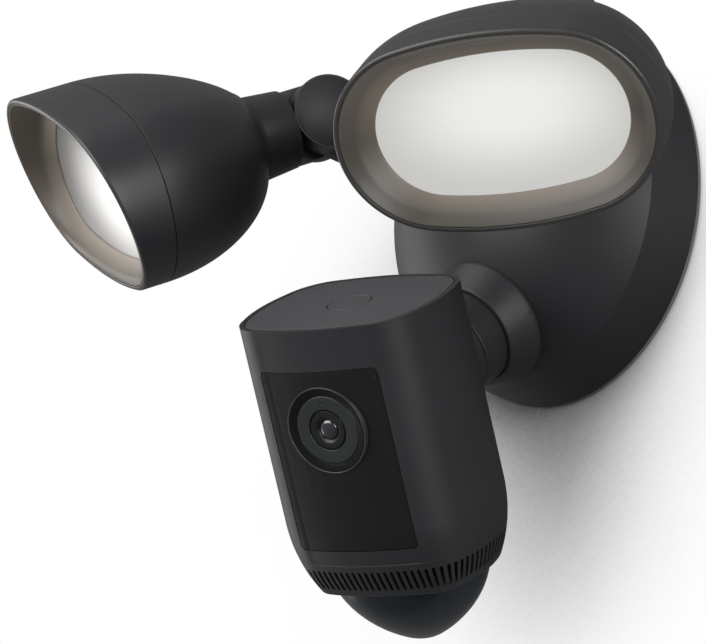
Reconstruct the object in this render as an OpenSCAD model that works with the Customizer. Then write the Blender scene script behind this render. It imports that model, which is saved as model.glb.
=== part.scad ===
// Wall floodlight with a security camera: a domed canopy, two lamp heads on
// knuckled arms, and a camera on a ball joint.
// Frame: wall in the plane Y = 0, front towards -Y, up +Z, millimetres.

/* [Canopy] */
// Radius of the canopy rim at the wall
canopy_r = 65.4; // [62:0.2:72]
// How far the ring tapers from the wall to its crease with the dome
ring_taper = 3.1; // [2:0.1:4]
// Depth of the ring, from the wall to the crease
ring_depth = 19.5; // [16:0.5:24]
// Radius of the spherical front
dome_r = 77.5; // [74:0.5:84]
// Wall of the canopy mouldings
canopy_wall = 3; // [2.4:0.1:3.6]
// Thickness of the foam gasket on the wall
gasket_t = 1.6; // [1:0.1:2.4]
// Width of the foam gasket
gasket_w = 3.6; // [3:0.2:4]

/* [Wall bracket] */
// Thickness of the steel bracket
bracket_t = 2.4; // [1.6:0.1:3]
// Radius of the bracket disc
bracket_r = 50; // [47:0.5:54]
// Centre distance of the two box screws
box_screw_span = 88.9; // [84:0.1:90]
// Centre distance of the spare pair of screw holes
spare_hole_span = 69.9; // [66:0.1:82]
// Diameter of the box screw holes
box_screw_hole_d = 4.6; // [4:0.1:5.4]
// Shank diameter of the box screws
box_screw_d = 4.2; // [3.5:0.1:4.4]
// Diameter of the wire hole in the bracket
wire_hole_d = 22; // [16:0.5:26]
// Wall of the rubber grommet in the wire hole
grommet_wall = 2; // [1.5:0.1:3]
// Width of the two side tabs that take the canopy screws
tab_w = 12; // [10:0.5:16]
// Angle of the canopy screws either side of the top
canopy_screw_angle = 38; // [25:1:60]
// Shank diameter of the canopy screws
canopy_screw_d = 3.5; // [3:0.1:4]

/* [Driver] */
// Width of the driver board
driver_w = 62; // [50:1:70]
// Height of the driver board
driver_h = 44; // [36:1:50]
// Thickness of every circuit board
board_t = 1.6; // [1:0.1:2]
// Length of the standoffs under the driver board
standoff_l = 7; // [5:0.5:9]

/* [Arms] */
// Azimuth of each arm from straight ahead
arm_az = 35.6; // [30:0.1:40]
// Elevation of each arm
arm_el = 19.8; // [15:0.1:25]
// Distance from the dome to the knuckle axis
arm_reach = 31.6; // [31:0.2:38]
// Radius of the arm at the dome
arm_root_r = 13.6; // [13:0.1:15]
// Radius of the arm at the knuckle
arm_tip_r = 13; // [12.4:0.1:13.4]
// Radius of the spigot that turns in the dome
arm_spigot_r = 9; // [7:0.5:11]
// Height of the socket ring on the dome
arm_ring_h = 4.5; // [3:0.5:6]
// Width of the socket ring round the arm
arm_ring_w = 3.4; // [2.5:0.1:5]

/* [Knuckle] */
// Azimuth of the knuckle's own axis, at the bent end of the arm
shaft_az = 22; // [18:0.5:36]
// Elevation of the knuckle's own axis
shaft_el = 18.7; // [15:0.1:22]
// Radius of the round cheek ends
knuckle_r = 12.9; // [11:0.1:13.2]
// Half width of the knuckle over its two cheeks
knuckle_half_w = 11; // [9.5:0.1:12]
// Radius of the hinge pin
pin_r = 3; // [2:0.1:4]
// Skin left over each end of the blind pin hole
pin_skin = 1.6; // [1:0.1:2.5]

/* [Lamp pose] */
// Azimuth of the right lamp
right_az = 30.9; // [20:0.5:40]
// Elevation of the right lamp
right_el = -35.5; // [-45:0.5:-20]
// Roll of the right lamp about its own axis
right_roll = 1.8; // [-20:0.1:20]
// Azimuth of the left lamp
left_az = -23.5; // [-40:0.5:-20]
// Elevation of the left lamp
left_el = -21.5; // [-45:0.5:-15]
// Roll of the left lamp about its own axis
left_roll = -28.4; // [-40:0.5:20]

/* [Lamp head] */
// Half width of the lamp head
head_a = 51.2; // [48:0.2:56]
// Half height of the lamp head
head_b = 32.5; // [30:0.2:35]
// Radius of the round ends of the lamp head
head_end_r = 30.4; // [26:0.2:31.5]
// Wall of the bell and the visor
head_wall = 2.3; // [1.8:0.1:3]
// Distance from the knuckle axis to the seam between bell and visor
seam_reach = 77.5; // [74:0.5:84]
// Length of the bell from its seam to the neck
bell_l = 49.5; // [46:0.5:52]
// Roundness of the bell's shoulder
bell_curve = 0.714; // [0.6:0.01:0.9]
// Radius of the neck where it leaves the bell
neck_root_r = 14.8; // [14.2:0.1:16]
// Radius of the neck at the knuckle seam
neck_tip_r = 13.7; // [13:0.1:14.2]
// Fillet between bell and neck
neck_fillet = 4; // [2:0.5:6]
// Radius of the clevis spigot in the neck
clevis_spigot_r = 9; // [7:0.5:10]
// Length of the clevis spigot
clevis_spigot_l = 9; // [6:0.5:10]
// Middle length of the visor ahead of its seam
visor_l = 15.2; // [13:0.2:18]
// Slope of the visor's mouth, rise per unit of height
visor_slope = 0.195; // [0.1:0.005:0.25]
// Half width of the lit window
window_a = 40; // [36:0.2:41]
// Half height of the lit window
window_b = 22.5; // [20:0.1:23]
// Radius of the round ends of the lit window
window_end_r = 20.9; // [18:0.1:21]
// Wall of the bezel liner
liner_wall = 1.8; // [1.4:0.1:2.4]
// Distance of the liner's edge behind the visor's mouth
liner_drop = 1.4; // [0.8:0.1:2.5]
// Thickness of the diffuser
diffuser_t = 1.4; // [1:0.1:2]
// Ledge of the diffuser behind the window
diffuser_lap = 2; // [1.4:0.1:2.6]
// Thickness of the heat sink's flange
sink_flange_t = 3; // [2:0.2:5]
// Length of the heat sink's fins
sink_fin_l = 14; // [8:1:18]
// Thickness of a fin
sink_fin_t = 1.6; // [1.2:0.1:2.4]
// Pitch of the fins
sink_fin_pitch = 6; // [4.5:0.5:9]

/* [Camera joint] */
// Angle of the camera neck below level
cam_neck_drop = 34.6; // [30:0.5:40]
// Distance from the dome to the ball's centre
ball_reach = 25.2; // [24:0.2:30]
// Radius of the ball and of the neck behind it
ball_r = 16.4; // [15:0.1:17]
// Length of the fixed neck, from the dome to the swivel seam
neck_l = 19.2; // [18:0.2:23]
// Radius of the swivel spigot inside the fixed neck
swivel_r = 11; // [9:0.1:12.5]
// Length of the swivel spigot
swivel_l = 12; // [8:0.5:14]
// Radius of the collar's foot on the dome
collar_foot_r = 21.8; // [20:0.1:24]
// Radius of the collar's front edge
collar_lip_r = 17.8; // [17.4:0.1:20]
// Height of the collar
collar_h = 8.5; // [6:0.5:10]
// Wall of the liner between ball and saddle
ball_liner_t = 1.2; // [0.8:0.1:1.4]
// Distance of the saddle's rim ahead of the ball's centre
saddle_rim = 7; // [6.4:0.1:8]
// Wall of the saddle at its rim
saddle_wall = 1.6; // [1:0.1:2.4]

/* [Camera pose] */
// Pan of the camera on the ball
cam_pan = 13; // [-20:0.1:20]
// Tilt of the camera below level
cam_tilt = 30.4; // [25:0.1:40]
// Roll of the camera on the ball
cam_roll = 5.9; // [-10:0.1:10]

/* [Camera body] */
// Half width of the camera body
body_a = 34.5; // [33:0.1:37]
// Half depth of the camera body
body_b = 27.5; // [27:0.1:30]
// Corner radius of the body's section
body_corner_r = 15; // [13:0.1:16]
// Across-centre of the corner arcs
body_corner_x = 17.8; // [16.5:0.1:18.2]
// Fore-and-aft centre of the corner arcs
body_corner_y = 10.5; // [9.5:0.1:11.2]
// Length of the body shell from lid to grille seam
body_l = 79; // [76:0.5:84]
// Wall of the camera shell
body_wall = 3.2; // [2.8:0.1:3.6]
// Thickness of the lid
lid_t = 2.4; // [1.8:0.1:3]
// Width of the rim round the lid
lid_rim = 1.7; // [1.3:0.1:2.2]
// Hairline gap round fitted covers
hairline = 0.25; // [0.15:0.05:0.4]
// Depth of the ball's centre below the lid
ball_drop = 33.2; // [31:0.2:36]
// Distance of the ball's centre behind the camera's back
ball_back = 13.2; // [11:0.1:15]
// Radius of the setup button
button_r = 7.1; // [6:0.1:9]
// Travel of the setup button
button_travel = 0.7; // [0.4:0.1:0.9]

/* [Camera front] */
// Half width of the front panel
panel_hw = 21.8; // [20:0.1:23]
// Top of the panel below the lid
panel_top = 13.8; // [12:0.1:16]
// Bottom of the panel above the grille's seam
panel_bottom = 5.4; // [4:0.1:9]
// Corner radius of the panel
panel_corner_r = 1.6; // [1:0.1:3]
// Thickness of the panel
panel_t = 1.3; // [1:0.1:1.6]
// Depth of the lens axis below the lid
lens_drop = 32.9; // [31:0.1:36]
// Outer radius of the lens bezel
lens_bezel_r = 14.3; // [13:0.1:15]
// Width of the lens bezel
lens_bezel_w = 1.5; // [1.2:0.1:2.2]
// Thickness of the lens glass
lens_glass_t = 1.5; // [1:0.1:2]
// Radius of the lens barrel
barrel_r = 7.8; // [7:0.1:8]
// Radius of the front element of the lens
element_r = 3.6; // [3:0.1:5]
// Radius of the infrared emitter
emitter_r = 1.5; // [1:0.1:2]

/* [Camera foot] */
// Height of the grille ring
grille_h = 12.5; // [11:0.1:14]
// Height above the grille seam at which the body starts to draw in
draw_h = 12.5; // [9:0.5:16]
// Inset of the lower lip from the body's side
lip_inset = 6.5; // [5:0.1:7]
// Number of grille slots
slots = 80; // [60:2:96]
// Width of a slot
slot_w = 1; // [0.6:0.05:1.1]
// Height of a slot
slot_h = 7.4; // [4:0.2:7.8]
// Top of the slots below the grille seam
slot_drop = 2.5; // [2:0.1:3]
// Thickness of the chassis floor inside the grille ring
floor_t = 1.6; // [1.2:0.1:2]
// Half width of the sensor dome at the lip
pir_a = 27.1; // [26:0.1:27.2]
// Half depth of the sensor dome at the lip
pir_b = 20.2; // [19.6:0.1:20.3]
// Radius of the round ends of the sensor dome
pir_end_r = 18.9; // [17:0.1:19]
// Height of the sensor dome below the lip
pir_h = 22.2; // [18:0.2:25]
// Radius of the sensor dome's tip
pir_tip_r = 10; // [6:0.5:11]
// Radius of the sensor dome's flank
pir_flank_r = 34; // [32:0.5:50]
// Wall of the sensor dome
pir_wall = 1.4; // [1:0.1:2]
// Radius of the speaker
speaker_r = 14; // [11:0.5:15]

/* [Fits] */
// Gap between bodies that move on each other
run_gap = 0.3; // [0.2:0.05:0.5]
// Radial play of pins and spigots
pin_play = 0.05; // [0.02:0.01:0.1]
// Play of a piece set in a pocket
seat_play = 0.3; // [0.2:0.05:0.4]

/* [Hidden] */
$fn = 96;

charcoal = [0.13, 0.135, 0.14];
taupe = [0.36, 0.33, 0.29];
board_green = [0.1, 0.3, 0.2];
steel = [0.7, 0.71, 0.72];

crease_r = canopy_r - ring_taper;
// Centre of the dome's sphere, behind the wall.
dome_y = sqrt(dome_r * dome_r - crease_r * crease_r) - ring_depth;
dome_c = [0, dome_y, 0];
knuckle_dist = dome_r + arm_reach;
ball_dist = dome_r + ball_reach;
// The knuckle's half lap reaches this far from the hinge axis.
lap_l = knuckle_r + run_gap;
lap_step = 0.8;
led_seat = 0.2;
nut_t = 4;
nut_w = 3.4;
pad_w = 1.4;
cap_t = 2;
tab_l = ring_depth - 6;
tab_reach = crease_r - canopy_wall - seat_play;
// Middle of the ring's side, where the canopy screws go in.
ring_mid_r = (canopy_r + crease_r) / 2;
ring_mid_z = (gasket_t + ring_depth) / 2;
screw_seat = 2;
window_lip_t = 1.4;
window_step = 3;
window_step_t = 2;
diffuser_z = board_t + 1.6;
lip_z = diffuser_z + diffuser_t;
socket_r = ball_r + ball_liner_t + 2 * run_gap;
switch_t = 3.2;
panel_seat = 0.15;
lens_proud = 0.3;
board_y = -4;
bell_rings = 9;
fillet_end = bell_l + 0.6 * neck_fillet;
bell_points = 44;
// The body's lower flank is an arc that leaves its side upright.
foot_h = draw_h + grille_h;
flank_r = (lip_inset * lip_inset + foot_h * foot_h) / (2 * lip_inset);
lip_ledge = 1.4;
flange_t = 1.2;
flange_w = 0.5;
pir_rings = 10;
arc_tuck = 0.93;

function unit(v) = v / norm(v);
// Direction of an azimuth and an elevation, and the level axis across it.
function aim(az, el) = [sin(az) * cos(el), -cos(az) * cos(el), sin(el)];
function across(az) = [cos(az), sin(az), 0];
function upward(az, el) = cross(aim(az, el), across(az));
// Roll that turns the level axis of an aim onto the vector h.
function roll_to(h, az, el) = atan2(h * upward(az, el), h * across(az));

function lamp_az(s) = s > 0 ? right_az : left_az;
function lamp_el(s) = s > 0 ? right_el : left_el;
function lamp_roll(s) = s > 0 ? right_roll : left_roll;
function knuckle(s) = dome_c + knuckle_dist * aim(s * arm_az, arm_el);
// The hinge axis is square to the knuckle's axis and to the lamp.
function hinge(s) = unit(cross(aim(s * shaft_az, shaft_el), aim(lamp_az(s), lamp_el(s))));
function ball() = dome_c + ball_dist * aim(0, -cam_neck_drop);

// Axes: z of the children along an aim, x along the level axis turned by roll.
module along(az, el, roll = 0) {
    rotate([0, 0, az]) rotate([90 - el, 0, 0]) rotate([0, 0, roll]) children();
}

// Base frame: z out of the wall.
module base_frame() {
    rotate([90, 0, 0]) children();
}

module arm_frame(s) {
    translate(dome_c) along(s * arm_az, arm_el) children();
}

// Knuckle frame: x along the hinge, z along the bent end of the arm.
module knuckle_frame(s) {
    translate(knuckle(s))
        along(s * shaft_az, shaft_el, roll_to(hinge(s), s * shaft_az, shaft_el)) children();
}

module clevis_frame(s) {
    translate(knuckle(s))
        along(lamp_az(s), lamp_el(s), roll_to(hinge(s), lamp_az(s), lamp_el(s))) children();
}

// Lamp frame: origin at the seam, z towards the light, y up.
module lamp_frame(s) {
    translate(knuckle(s)) along(lamp_az(s), lamp_el(s), lamp_roll(s))
        translate([0, 0, seam_reach]) children();
}

module neck_frame() {
    translate(dome_c) along(0, -cam_neck_drop) children();
}

// Camera frame: origin at the lid's centre, front -y, up z.
module camera_frame() {
    translate(ball()) rotate([0, 0, cam_pan]) rotate([cam_tilt, 0, 0]) rotate([0, cam_roll, 0])
        translate([0, -(body_b + ball_back), ball_drop]) children();
}

// Ball centre as the origin, in the camera's axes.
module saddle_frame() {
    camera_frame() translate([0, body_b + ball_back, -ball_drop]) rotate([90, 0, 0]) children();
}

// Four-centre oval: half axes a and b, end radius r. The side arcs are a little tighter than
// tangent, so each crosses its end circle cleanly.
module oval(a, b, r) {
    side_r = arc_tuck * ((a - r) * (a - r) + b * b - r * r) / (2 * (b - r));
    reach = norm([a - r, side_r - b]);
    for (k = [-1, 1]) translate([k * (a - r), 0]) circle(r);
    intersection() {
        translate([0, side_r - b]) circle(side_r, $fn = 200);
        translate([0, b - side_r]) circle(side_r, $fn = 200);
        square([2 * (a - r) * (1 + r / reach), 4 * b], center = true);
    }
}

module head_oval(inset = 0) {
    oval(head_a - inset, head_b - inset, head_end_r - inset);
}

module window_oval(grow = 0) {
    oval(window_a + grow, window_b + grow, window_end_r + grow);
}

// Radii of the shallow arcs of the body's section, and where each ends inside a corner circle.
function front_arc(b, rc) = arc_tuck * (pow(body_corner_x, 2) + pow(b - body_corner_y, 2) - rc * rc)
    / (2 * (b - body_corner_y - rc));
function side_arc(a, rc) = arc_tuck * (pow(body_corner_y, 2) + pow(a - body_corner_x, 2) - rc * rc)
    / (2 * (a - body_corner_x - rc));
function front_clip(b, rc) =
    body_corner_x * (1 + rc / norm([body_corner_x, front_arc(b, rc) - b + body_corner_y]));
function side_clip(a, rc) =
    body_corner_y * (1 + rc / norm([body_corner_y, side_arc(a, rc) - a + body_corner_x]));

// Section of the camera body: four corner arcs joined by four shallow arcs.
module body_section(inset = 0) {
    a = body_a - inset;
    b = body_b - inset;
    rc = body_corner_r - inset;
    front_r = front_arc(b, rc);
    side_r = side_arc(a, rc);
    for (i = [-1, 1], j = [-1, 1]) translate([i * body_corner_x, j * body_corner_y]) circle(rc);
    intersection() {
        translate([0, front_r - b]) circle(front_r, $fn = 200);
        translate([0, b - front_r]) circle(front_r, $fn = 200);
        square([2 * front_clip(b, rc), 4 * b], center = true);
    }
    intersection() {
        translate([side_r - a, 0]) circle(side_r, $fn = 200);
        translate([a - side_r, 0]) circle(side_r, $fn = 200);
        square([4 * a, 2 * side_clip(a, rc)], center = true);
    }
}

module screw(d, l) {
    cylinder(d = d, h = l);
    translate([0, 0, l]) cylinder(d = 1.9 * d, h = 0.5 * d);
}

// Canopy and what is behind it

module wall_gasket() {
    color("dimgray") base_frame() difference() {
        cylinder(r = canopy_r - 0.6, h = gasket_t);
        translate([0, 0, -1]) cylinder(r = canopy_r - 0.6 - gasket_w, h = gasket_t + 2);
    }
}

module tab_at(angle) {
    rotate([0, 0, 90 + angle]) translate([tab_reach - bracket_t, -tab_w / 2, 0])
        cube([bracket_t, tab_w, tab_l]);
    rotate([0, 0, 90 + angle]) translate([bracket_r - 4, -tab_w / 2, 0])
        cube([tab_reach - bracket_r + 4, tab_w, bracket_t]);
}

module wall_bracket() {
    color(steel) base_frame() difference() {
        union() {
            cylinder(r = bracket_r, h = bracket_t);
            for (k = [-1, 1]) tab_at(k * canopy_screw_angle);
            tab_at(180);
        }
        translate([0, 0, -1]) cylinder(d = wire_hole_d, h = bracket_t + 2);
        for (k = [-1, 1]) {
            translate([k * box_screw_span / 2, 0, -1])
                cylinder(d = box_screw_hole_d, h = bracket_t + 2);
            translate([0, k * spare_hole_span / 2, -1])
                cylinder(d = box_screw_hole_d, h = bracket_t + 2);
        }
        at_canopy_screws() cylinder(d = canopy_screw_d + 2 * pin_play, h = canopy_r);
    }
}

module wire_grommet() {
    color("black") base_frame() difference() {
        union() {
            cylinder(d = wire_hole_d, h = bracket_t);
            translate([0, 0, bracket_t]) cylinder(d = wire_hole_d + 4, h = 1.6);
        }
        translate([0, 0, -1]) cylinder(d = wire_hole_d - 2 * grommet_wall, h = bracket_t + 4);
    }
}

module box_screws() {
    color(steel) base_frame()
        for (k = [-1, 1]) translate([k * box_screw_span / 2, 0, 0]) screw(box_screw_d, bracket_t);
}

module at_standoffs() {
    for (i = [-1, 1], j = [-1, 1])
        translate([i * (driver_w / 2 - 4), j * (driver_h / 2 - 4), bracket_t]) children();
}

module driver_standoffs() {
    color("goldenrod") base_frame() at_standoffs() cylinder(d = 5, h = standoff_l, $fn = 6);
}

module driver_plane() {
    base_frame() translate([0, 0, bracket_t + standoff_l]) children();
}

module driver_board() {
    color(board_green) driver_plane() translate([-driver_w / 2, -driver_h / 2, 0])
        cube([driver_w, driver_h, board_t]);
}

module driver_parts() {
    driver_plane() translate([0, 0, board_t]) {
        color("gold") translate([-9, 0, 0]) cube([18, 16, 13]);
        for (k = [-1, 1]) color("slategray") translate([k * 22, 8, 0]) cylinder(d = 10, h = 15);
        color("royalblue") translate([-24, -15, 0]) cube([14, 8, 10]);
        color("black") translate([10, -15, 0]) cube([14, 12, 9]);
    }
}

module terminal_block() {
    color("white") driver_plane() translate([0, 0, board_t]) difference() {
        translate([-7.5, -19, 0]) cube([15, 9, 8]);
        for (k = [-1:1]) translate([k * 4.6, -20, 4]) rotate([-90, 0, 0]) cylinder(d = 2.6, h = 5);
    }
}

module at_canopy_screws() {
    for (k = [-1, 1]) rotate([0, 0, 90 + k * canopy_screw_angle])
        translate([0, 0, ring_mid_z]) rotate([0, 90, 0]) children();
}

module canopy_ring() {
    color(charcoal) base_frame() difference() {
        rotate_extrude() polygon([[canopy_r - canopy_wall, gasket_t], [canopy_r, gasket_t],
            [crease_r, ring_depth], [crease_r - canopy_wall, ring_depth]]);
        at_canopy_screws() {
            cylinder(d = canopy_screw_d + 2 * seat_play, h = 2 * canopy_r);
            translate([0, 0, ring_mid_r - screw_seat])
                cylinder(d = 1.9 * canopy_screw_d + 2 * seat_play, h = canopy_r);
        }
    }
}

// Flat pad inside the dome round a bore of radius r: its distance from the dome's centre.
function pad_z(r) = sqrt(pow(dome_r - canopy_wall, 2) - pow(r + nut_w + pad_w, 2));

module dome_pad(r) {
    translate([0, 0, pad_z(r)]) cylinder(r = r + nut_w + pad_w, h = dome_r - canopy_wall - pad_z(r) + 1);
}

module canopy_dome() {
    color(charcoal) difference() {
        union() {
            difference() {
                translate(dome_c) intersection() {
                    sphere(dome_r);
                    translate([-dome_r, -dome_r - dome_y - ring_depth, -dome_r])
                        cube([2 * dome_r, dome_r, 2 * dome_r]);
                }
                translate(dome_c) sphere(dome_r - canopy_wall);
            }
            for (s = [-1, 1]) arm_frame(s) dome_pad(arm_spigot_r);
        }
        for (s = [-1, 1]) arm_frame(s) cylinder(r = arm_spigot_r + pin_play, h = knuckle_dist);
        neck_frame() cylinder(r = swivel_r + seat_play, h = ball_dist);
    }
}

module canopy_screws() {
    root = tab_reach - bracket_t - 3;
    color(steel) base_frame() at_canopy_screws() translate([0, 0, root])
        screw(canopy_screw_d, ring_mid_r - screw_seat - root);
}

module camera_collar() {
    color(charcoal) neck_frame() difference() {
        rotate_extrude() polygon([[ball_r, dome_r - 6], [collar_foot_r, dome_r - 6],
            [collar_foot_r, dome_r - 1], [collar_lip_r, dome_r + collar_h], [ball_r, dome_r + collar_h]]);
        sphere(dome_r);
    }
}

// Arms and knuckles

module arm_ring(s) {
    color(charcoal) arm_frame(s) difference() {
        translate([0, 0, dome_r - 4])
            cylinder(r1 = arm_root_r + arm_ring_w + 1, r2 = arm_root_r + arm_ring_w - 0.8,
                h = 4 + arm_ring_h);
        sphere(dome_r);
        cylinder(r = arm_root_r + run_gap, h = knuckle_dist);
    }
}

// Half of a lap joint: a round cheek on the side k, with a half-round root from the hinge to z = l.
module cheek(k, l, root_r) {
    rotate([0, 90, 0]) translate([0, 0, k > 0 ? run_gap / 2 : -knuckle_half_w])
        cylinder(r = knuckle_r, h = knuckle_half_w - run_gap / 2);
    intersection() {
        translate([k > 0 ? run_gap / 2 : -knuckle_half_w, -knuckle_r, 0])
            cube([knuckle_half_w - run_gap / 2, 2 * knuckle_r, l]);
        cylinder(r = root_r, h = l);
    }
}

module pin_hole() {
    translate([pin_skin - knuckle_half_w, 0, 0]) rotate([0, 90, 0])
        cylinder(r = pin_r + pin_play, h = 2 * (knuckle_half_w - pin_skin));
}

// Straight arm, mitred behind the knuckle's lap, with the knuckle cheek at its end.
module arm(s) {
    root = pad_z(arm_spigot_r) - run_gap - nut_t - 1;
    color(charcoal) difference() {
        union() {
            knuckle_frame(s) mirror([0, 0, 1]) cheek(-s, lap_l + 3, arm_tip_r - lap_step);
            intersection() {
                arm_frame(s) translate([0, 0, dome_r + run_gap])
                    cylinder(r1 = arm_root_r, r2 = arm_tip_r, h = arm_reach);
                knuckle_frame(s) translate([-arm_reach, -arm_reach, -lap_l - 2 * arm_reach])
                    cube(2 * arm_reach);
            }
            arm_frame(s) translate([0, 0, root]) cylinder(r = arm_spigot_r, h = dome_r + 2 - root);
        }
        knuckle_frame(s) pin_hole();
        arm_frame(s) translate([0, 0, root - 1])
            cylinder(r = arm_spigot_r - 3, h = knuckle_dist - lap_l - 5 - root);
    }
}

module arm_nut(s) {
    color(steel) arm_frame(s) translate([0, 0, pad_z(arm_spigot_r) - run_gap - nut_t]) difference() {
        cylinder(r = arm_spigot_r + nut_w, h = nut_t, $fn = 6);
        translate([0, 0, -1]) cylinder(r = arm_spigot_r, h = nut_t + 2);
    }
}

module hinge_pin(s) {
    color(steel) knuckle_frame(s) rotate([0, 90, 0])
        cylinder(r = pin_r, h = 2 * (knuckle_half_w - pin_skin) - 2 * pin_play, center = true);
}

module clevis(s) {
    color(charcoal) clevis_frame(s) difference() {
        union() {
            cheek(s, lap_l, neck_tip_r);
            translate([0, 0, lap_l - 2.5]) intersection() {
                cylinder(r = clevis_spigot_r, h = clevis_spigot_l + 2.5);
                union() {
                    translate([0, 0, 2.5]) cylinder(r = clevis_spigot_r, h = clevis_spigot_l);
                    translate([s > 0 ? run_gap / 2 : -knuckle_half_w, -knuckle_r, 0])
                        cube([knuckle_half_w - run_gap / 2, 2 * knuckle_r, 5]);
                }
            }
        }
        pin_hole();
    }
}

// Lamp heads

// Half width of the bell at a depth d behind the seam, for a half axis w.
function bell_w(w, d, l, tip) = tip + (w - tip) * pow(max(0, 1 - d * d / (l * l)), bell_curve);
function ring_point(a, b, n, t, z) =
    [a * sign(cos(t)) * pow(abs(cos(t)), 2 / n), b * sign(sin(t)) * pow(abs(sin(t)), 2 / n), z];
function ring(a, b, n, d) =
    [for (j = [0:bell_points - 1]) ring_point(a, b, n, 360 * j / bell_points, -d)];
// Ring at step i, from the seam (0) towards the neck: the section rounds off on the way.
function bell_ring(i, inset, l, tip) =
    let (d = l * sin(90 * i / bell_rings), n = 2.5 - 0.5 * pow(d / l, 3))
    ring(bell_w(head_a - inset, d, l, tip), bell_w(head_b - inset, d, l, tip), n, d);
// Round ring of the fillet, at a depth e before the fillet's end.
function fillet_ring(e) =
    let (r = neck_root_r + neck_fillet - sqrt(neck_fillet * neck_fillet - e * e))
    ring(r, r, 2, fillet_end - e);

// Solid between rings, closed by a flat cap at each end.
module skin(rings) {
    m = len(rings[0]);
    k = len(rings);
    polyhedron(points = [for (r = rings) each r],
        faces = concat([[for (j = [m - 1:-1:0]) j]],
            [for (i = [0:k - 2], j = [0:m - 1]) each
                [[i * m + j, (i + 1) * m + (j + 1) % m, (i + 1) * m + j],
                [i * m + j, i * m + (j + 1) % m, (i + 1) * m + (j + 1) % m]]],
            [[for (j = [0:m - 1]) (k - 1) * m + j]]));
}

module bell(s) {
    room_l = bell_l - head_wall;
    outside = concat([for (i = [0:bell_rings - 1]) bell_ring(i, 0, bell_l, neck_root_r)],
        [for (k = [0.6, 0.35, 0]) fillet_ring(k * neck_fillet)],
        [ring(neck_tip_r, neck_tip_r, 2, seam_reach - lap_l - run_gap)]);
    inside = [for (i = [bell_rings:-1:0]) bell_ring(i, head_wall, room_l, clevis_spigot_r + 0.4)];
    color(charcoal) lamp_frame(s) difference() {
        skin(concat(inside, outside));
        translate([0, 0, -seam_reach])
            cylinder(r = clevis_spigot_r + pin_play, h = seam_reach - bell_l + 6);
    }
}

module heat_sink(s) {
    fins = floor((window_b - 2) / sink_fin_pitch);
    color("silver") lamp_frame(s) {
        translate([0, 0, -sink_flange_t]) linear_extrude(sink_flange_t) head_oval(head_wall + 2.2);
        for (k = [-fins:fins])
            translate([-window_a + 12, k * sink_fin_pitch - sink_fin_t / 2, -sink_flange_t - sink_fin_l])
                cube([2 * window_a - 24, sink_fin_t, sink_fin_l]);
    }
}

module led_board(s) {
    color(board_green) lamp_frame(s) linear_extrude(board_t) window_oval(diffuser_lap);
    color("lightyellow") lamp_frame(s) for (i = [-3:3], j = [-1:1])
        translate([i * 9.5 - 1.75, j * 11 - 1.75, board_t - led_seat]) cube([3.5, 3.5, 0.8 + led_seat]);
}

module diffuser_seal(s) {
    color("black") lamp_frame(s) translate([0, 0, board_t]) linear_extrude(diffuser_z - board_t)
        difference() {
            window_oval(diffuser_lap);
            window_oval(0.5);
        }
}

module diffuser(s) {
    color("white") lamp_frame(s) translate([0, 0, diffuser_z]) linear_extrude(diffuser_t)
        window_oval(diffuser_lap);
}

// Everything ahead of the slanted mouth plane, set back by drop.
module ahead_of_mouth(drop) {
    translate([0, 0, visor_l - drop]) rotate([atan(visor_slope), 0, 0])
        translate([-2 * head_a, -3 * head_b, 0]) cube([4 * head_a, 6 * head_b, 4 * visor_l]);
}

module bezel(s) {
    color(taupe) lamp_frame(s) difference() {
        linear_extrude(visor_l + head_b) head_oval(head_wall);
        ahead_of_mouth(liner_drop);
        translate([0, 0, -1]) linear_extrude(1 + lip_z) window_oval(diffuser_lap + seat_play / 2);
        linear_extrude(visor_l) window_oval(0);
        translate([0, 0, lip_z + window_lip_t]) linear_extrude(3 * visor_l) window_oval(window_step);
        translate([0, 0, lip_z + window_lip_t + window_step_t]) linear_extrude(3 * visor_l)
            head_oval(head_wall + liner_wall);
    }
}

module visor(s) {
    color(charcoal) lamp_frame(s) difference() {
        linear_extrude(visor_l + head_b) head_oval();
        ahead_of_mouth(0);
        translate([0, 0, -1]) linear_extrude(3 * visor_l + head_b) head_oval(head_wall);
    }
}

// Camera joint

module camera_neck() {
    color(charcoal) neck_frame() difference() {
        translate([0, 0, dome_r - 6]) cylinder(r = ball_r, h = 6 + neck_l);
        sphere(dome_r);
        translate([0, 0, dome_r - 7]) cylinder(r = swivel_r + pin_play, h = 8 + neck_l);
    }
}

module ball_stud() {
    seam = dome_r + neck_l + run_gap;
    color(charcoal) neck_frame() difference() {
        union() {
            translate([0, 0, seam]) cylinder(r = ball_r, h = ball_dist - seam);
            translate([0, 0, ball_dist]) intersection() {
                sphere(ball_r);
                translate([-ball_r, -ball_r, 0]) cube(2 * ball_r);
            }
            translate([0, 0, seam - swivel_l]) cylinder(r = swivel_r, h = swivel_l + 1);
        }
        translate([0, 0, seam - swivel_l - 1]) cylinder(r = swivel_r - 4, h = swivel_l + 4);
    }
}

module cable_bush() {
    seam = dome_r + neck_l + run_gap;
    color(steel) neck_frame() translate([0, 0, seam - swivel_l]) difference() {
        cylinder(r = swivel_r - 4, h = 5);
        translate([0, 0, -1]) cylinder(r = swivel_r - 6.5, h = 7);
    }
}

// Ahead of the ball's centre by d, in the saddle's axes.
module saddle_side(d) {
    translate([-2 * socket_r, -2 * socket_r, d]) cube([4 * socket_r, 4 * socket_r, 4 * socket_r]);
}

module ball_liner() {
    color("gray") saddle_frame() intersection() {
        difference() {
            sphere(ball_r + run_gap + ball_liner_t);
            sphere(ball_r + run_gap);
        }
        saddle_side(saddle_rim + 0.4);
    }
}

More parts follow.
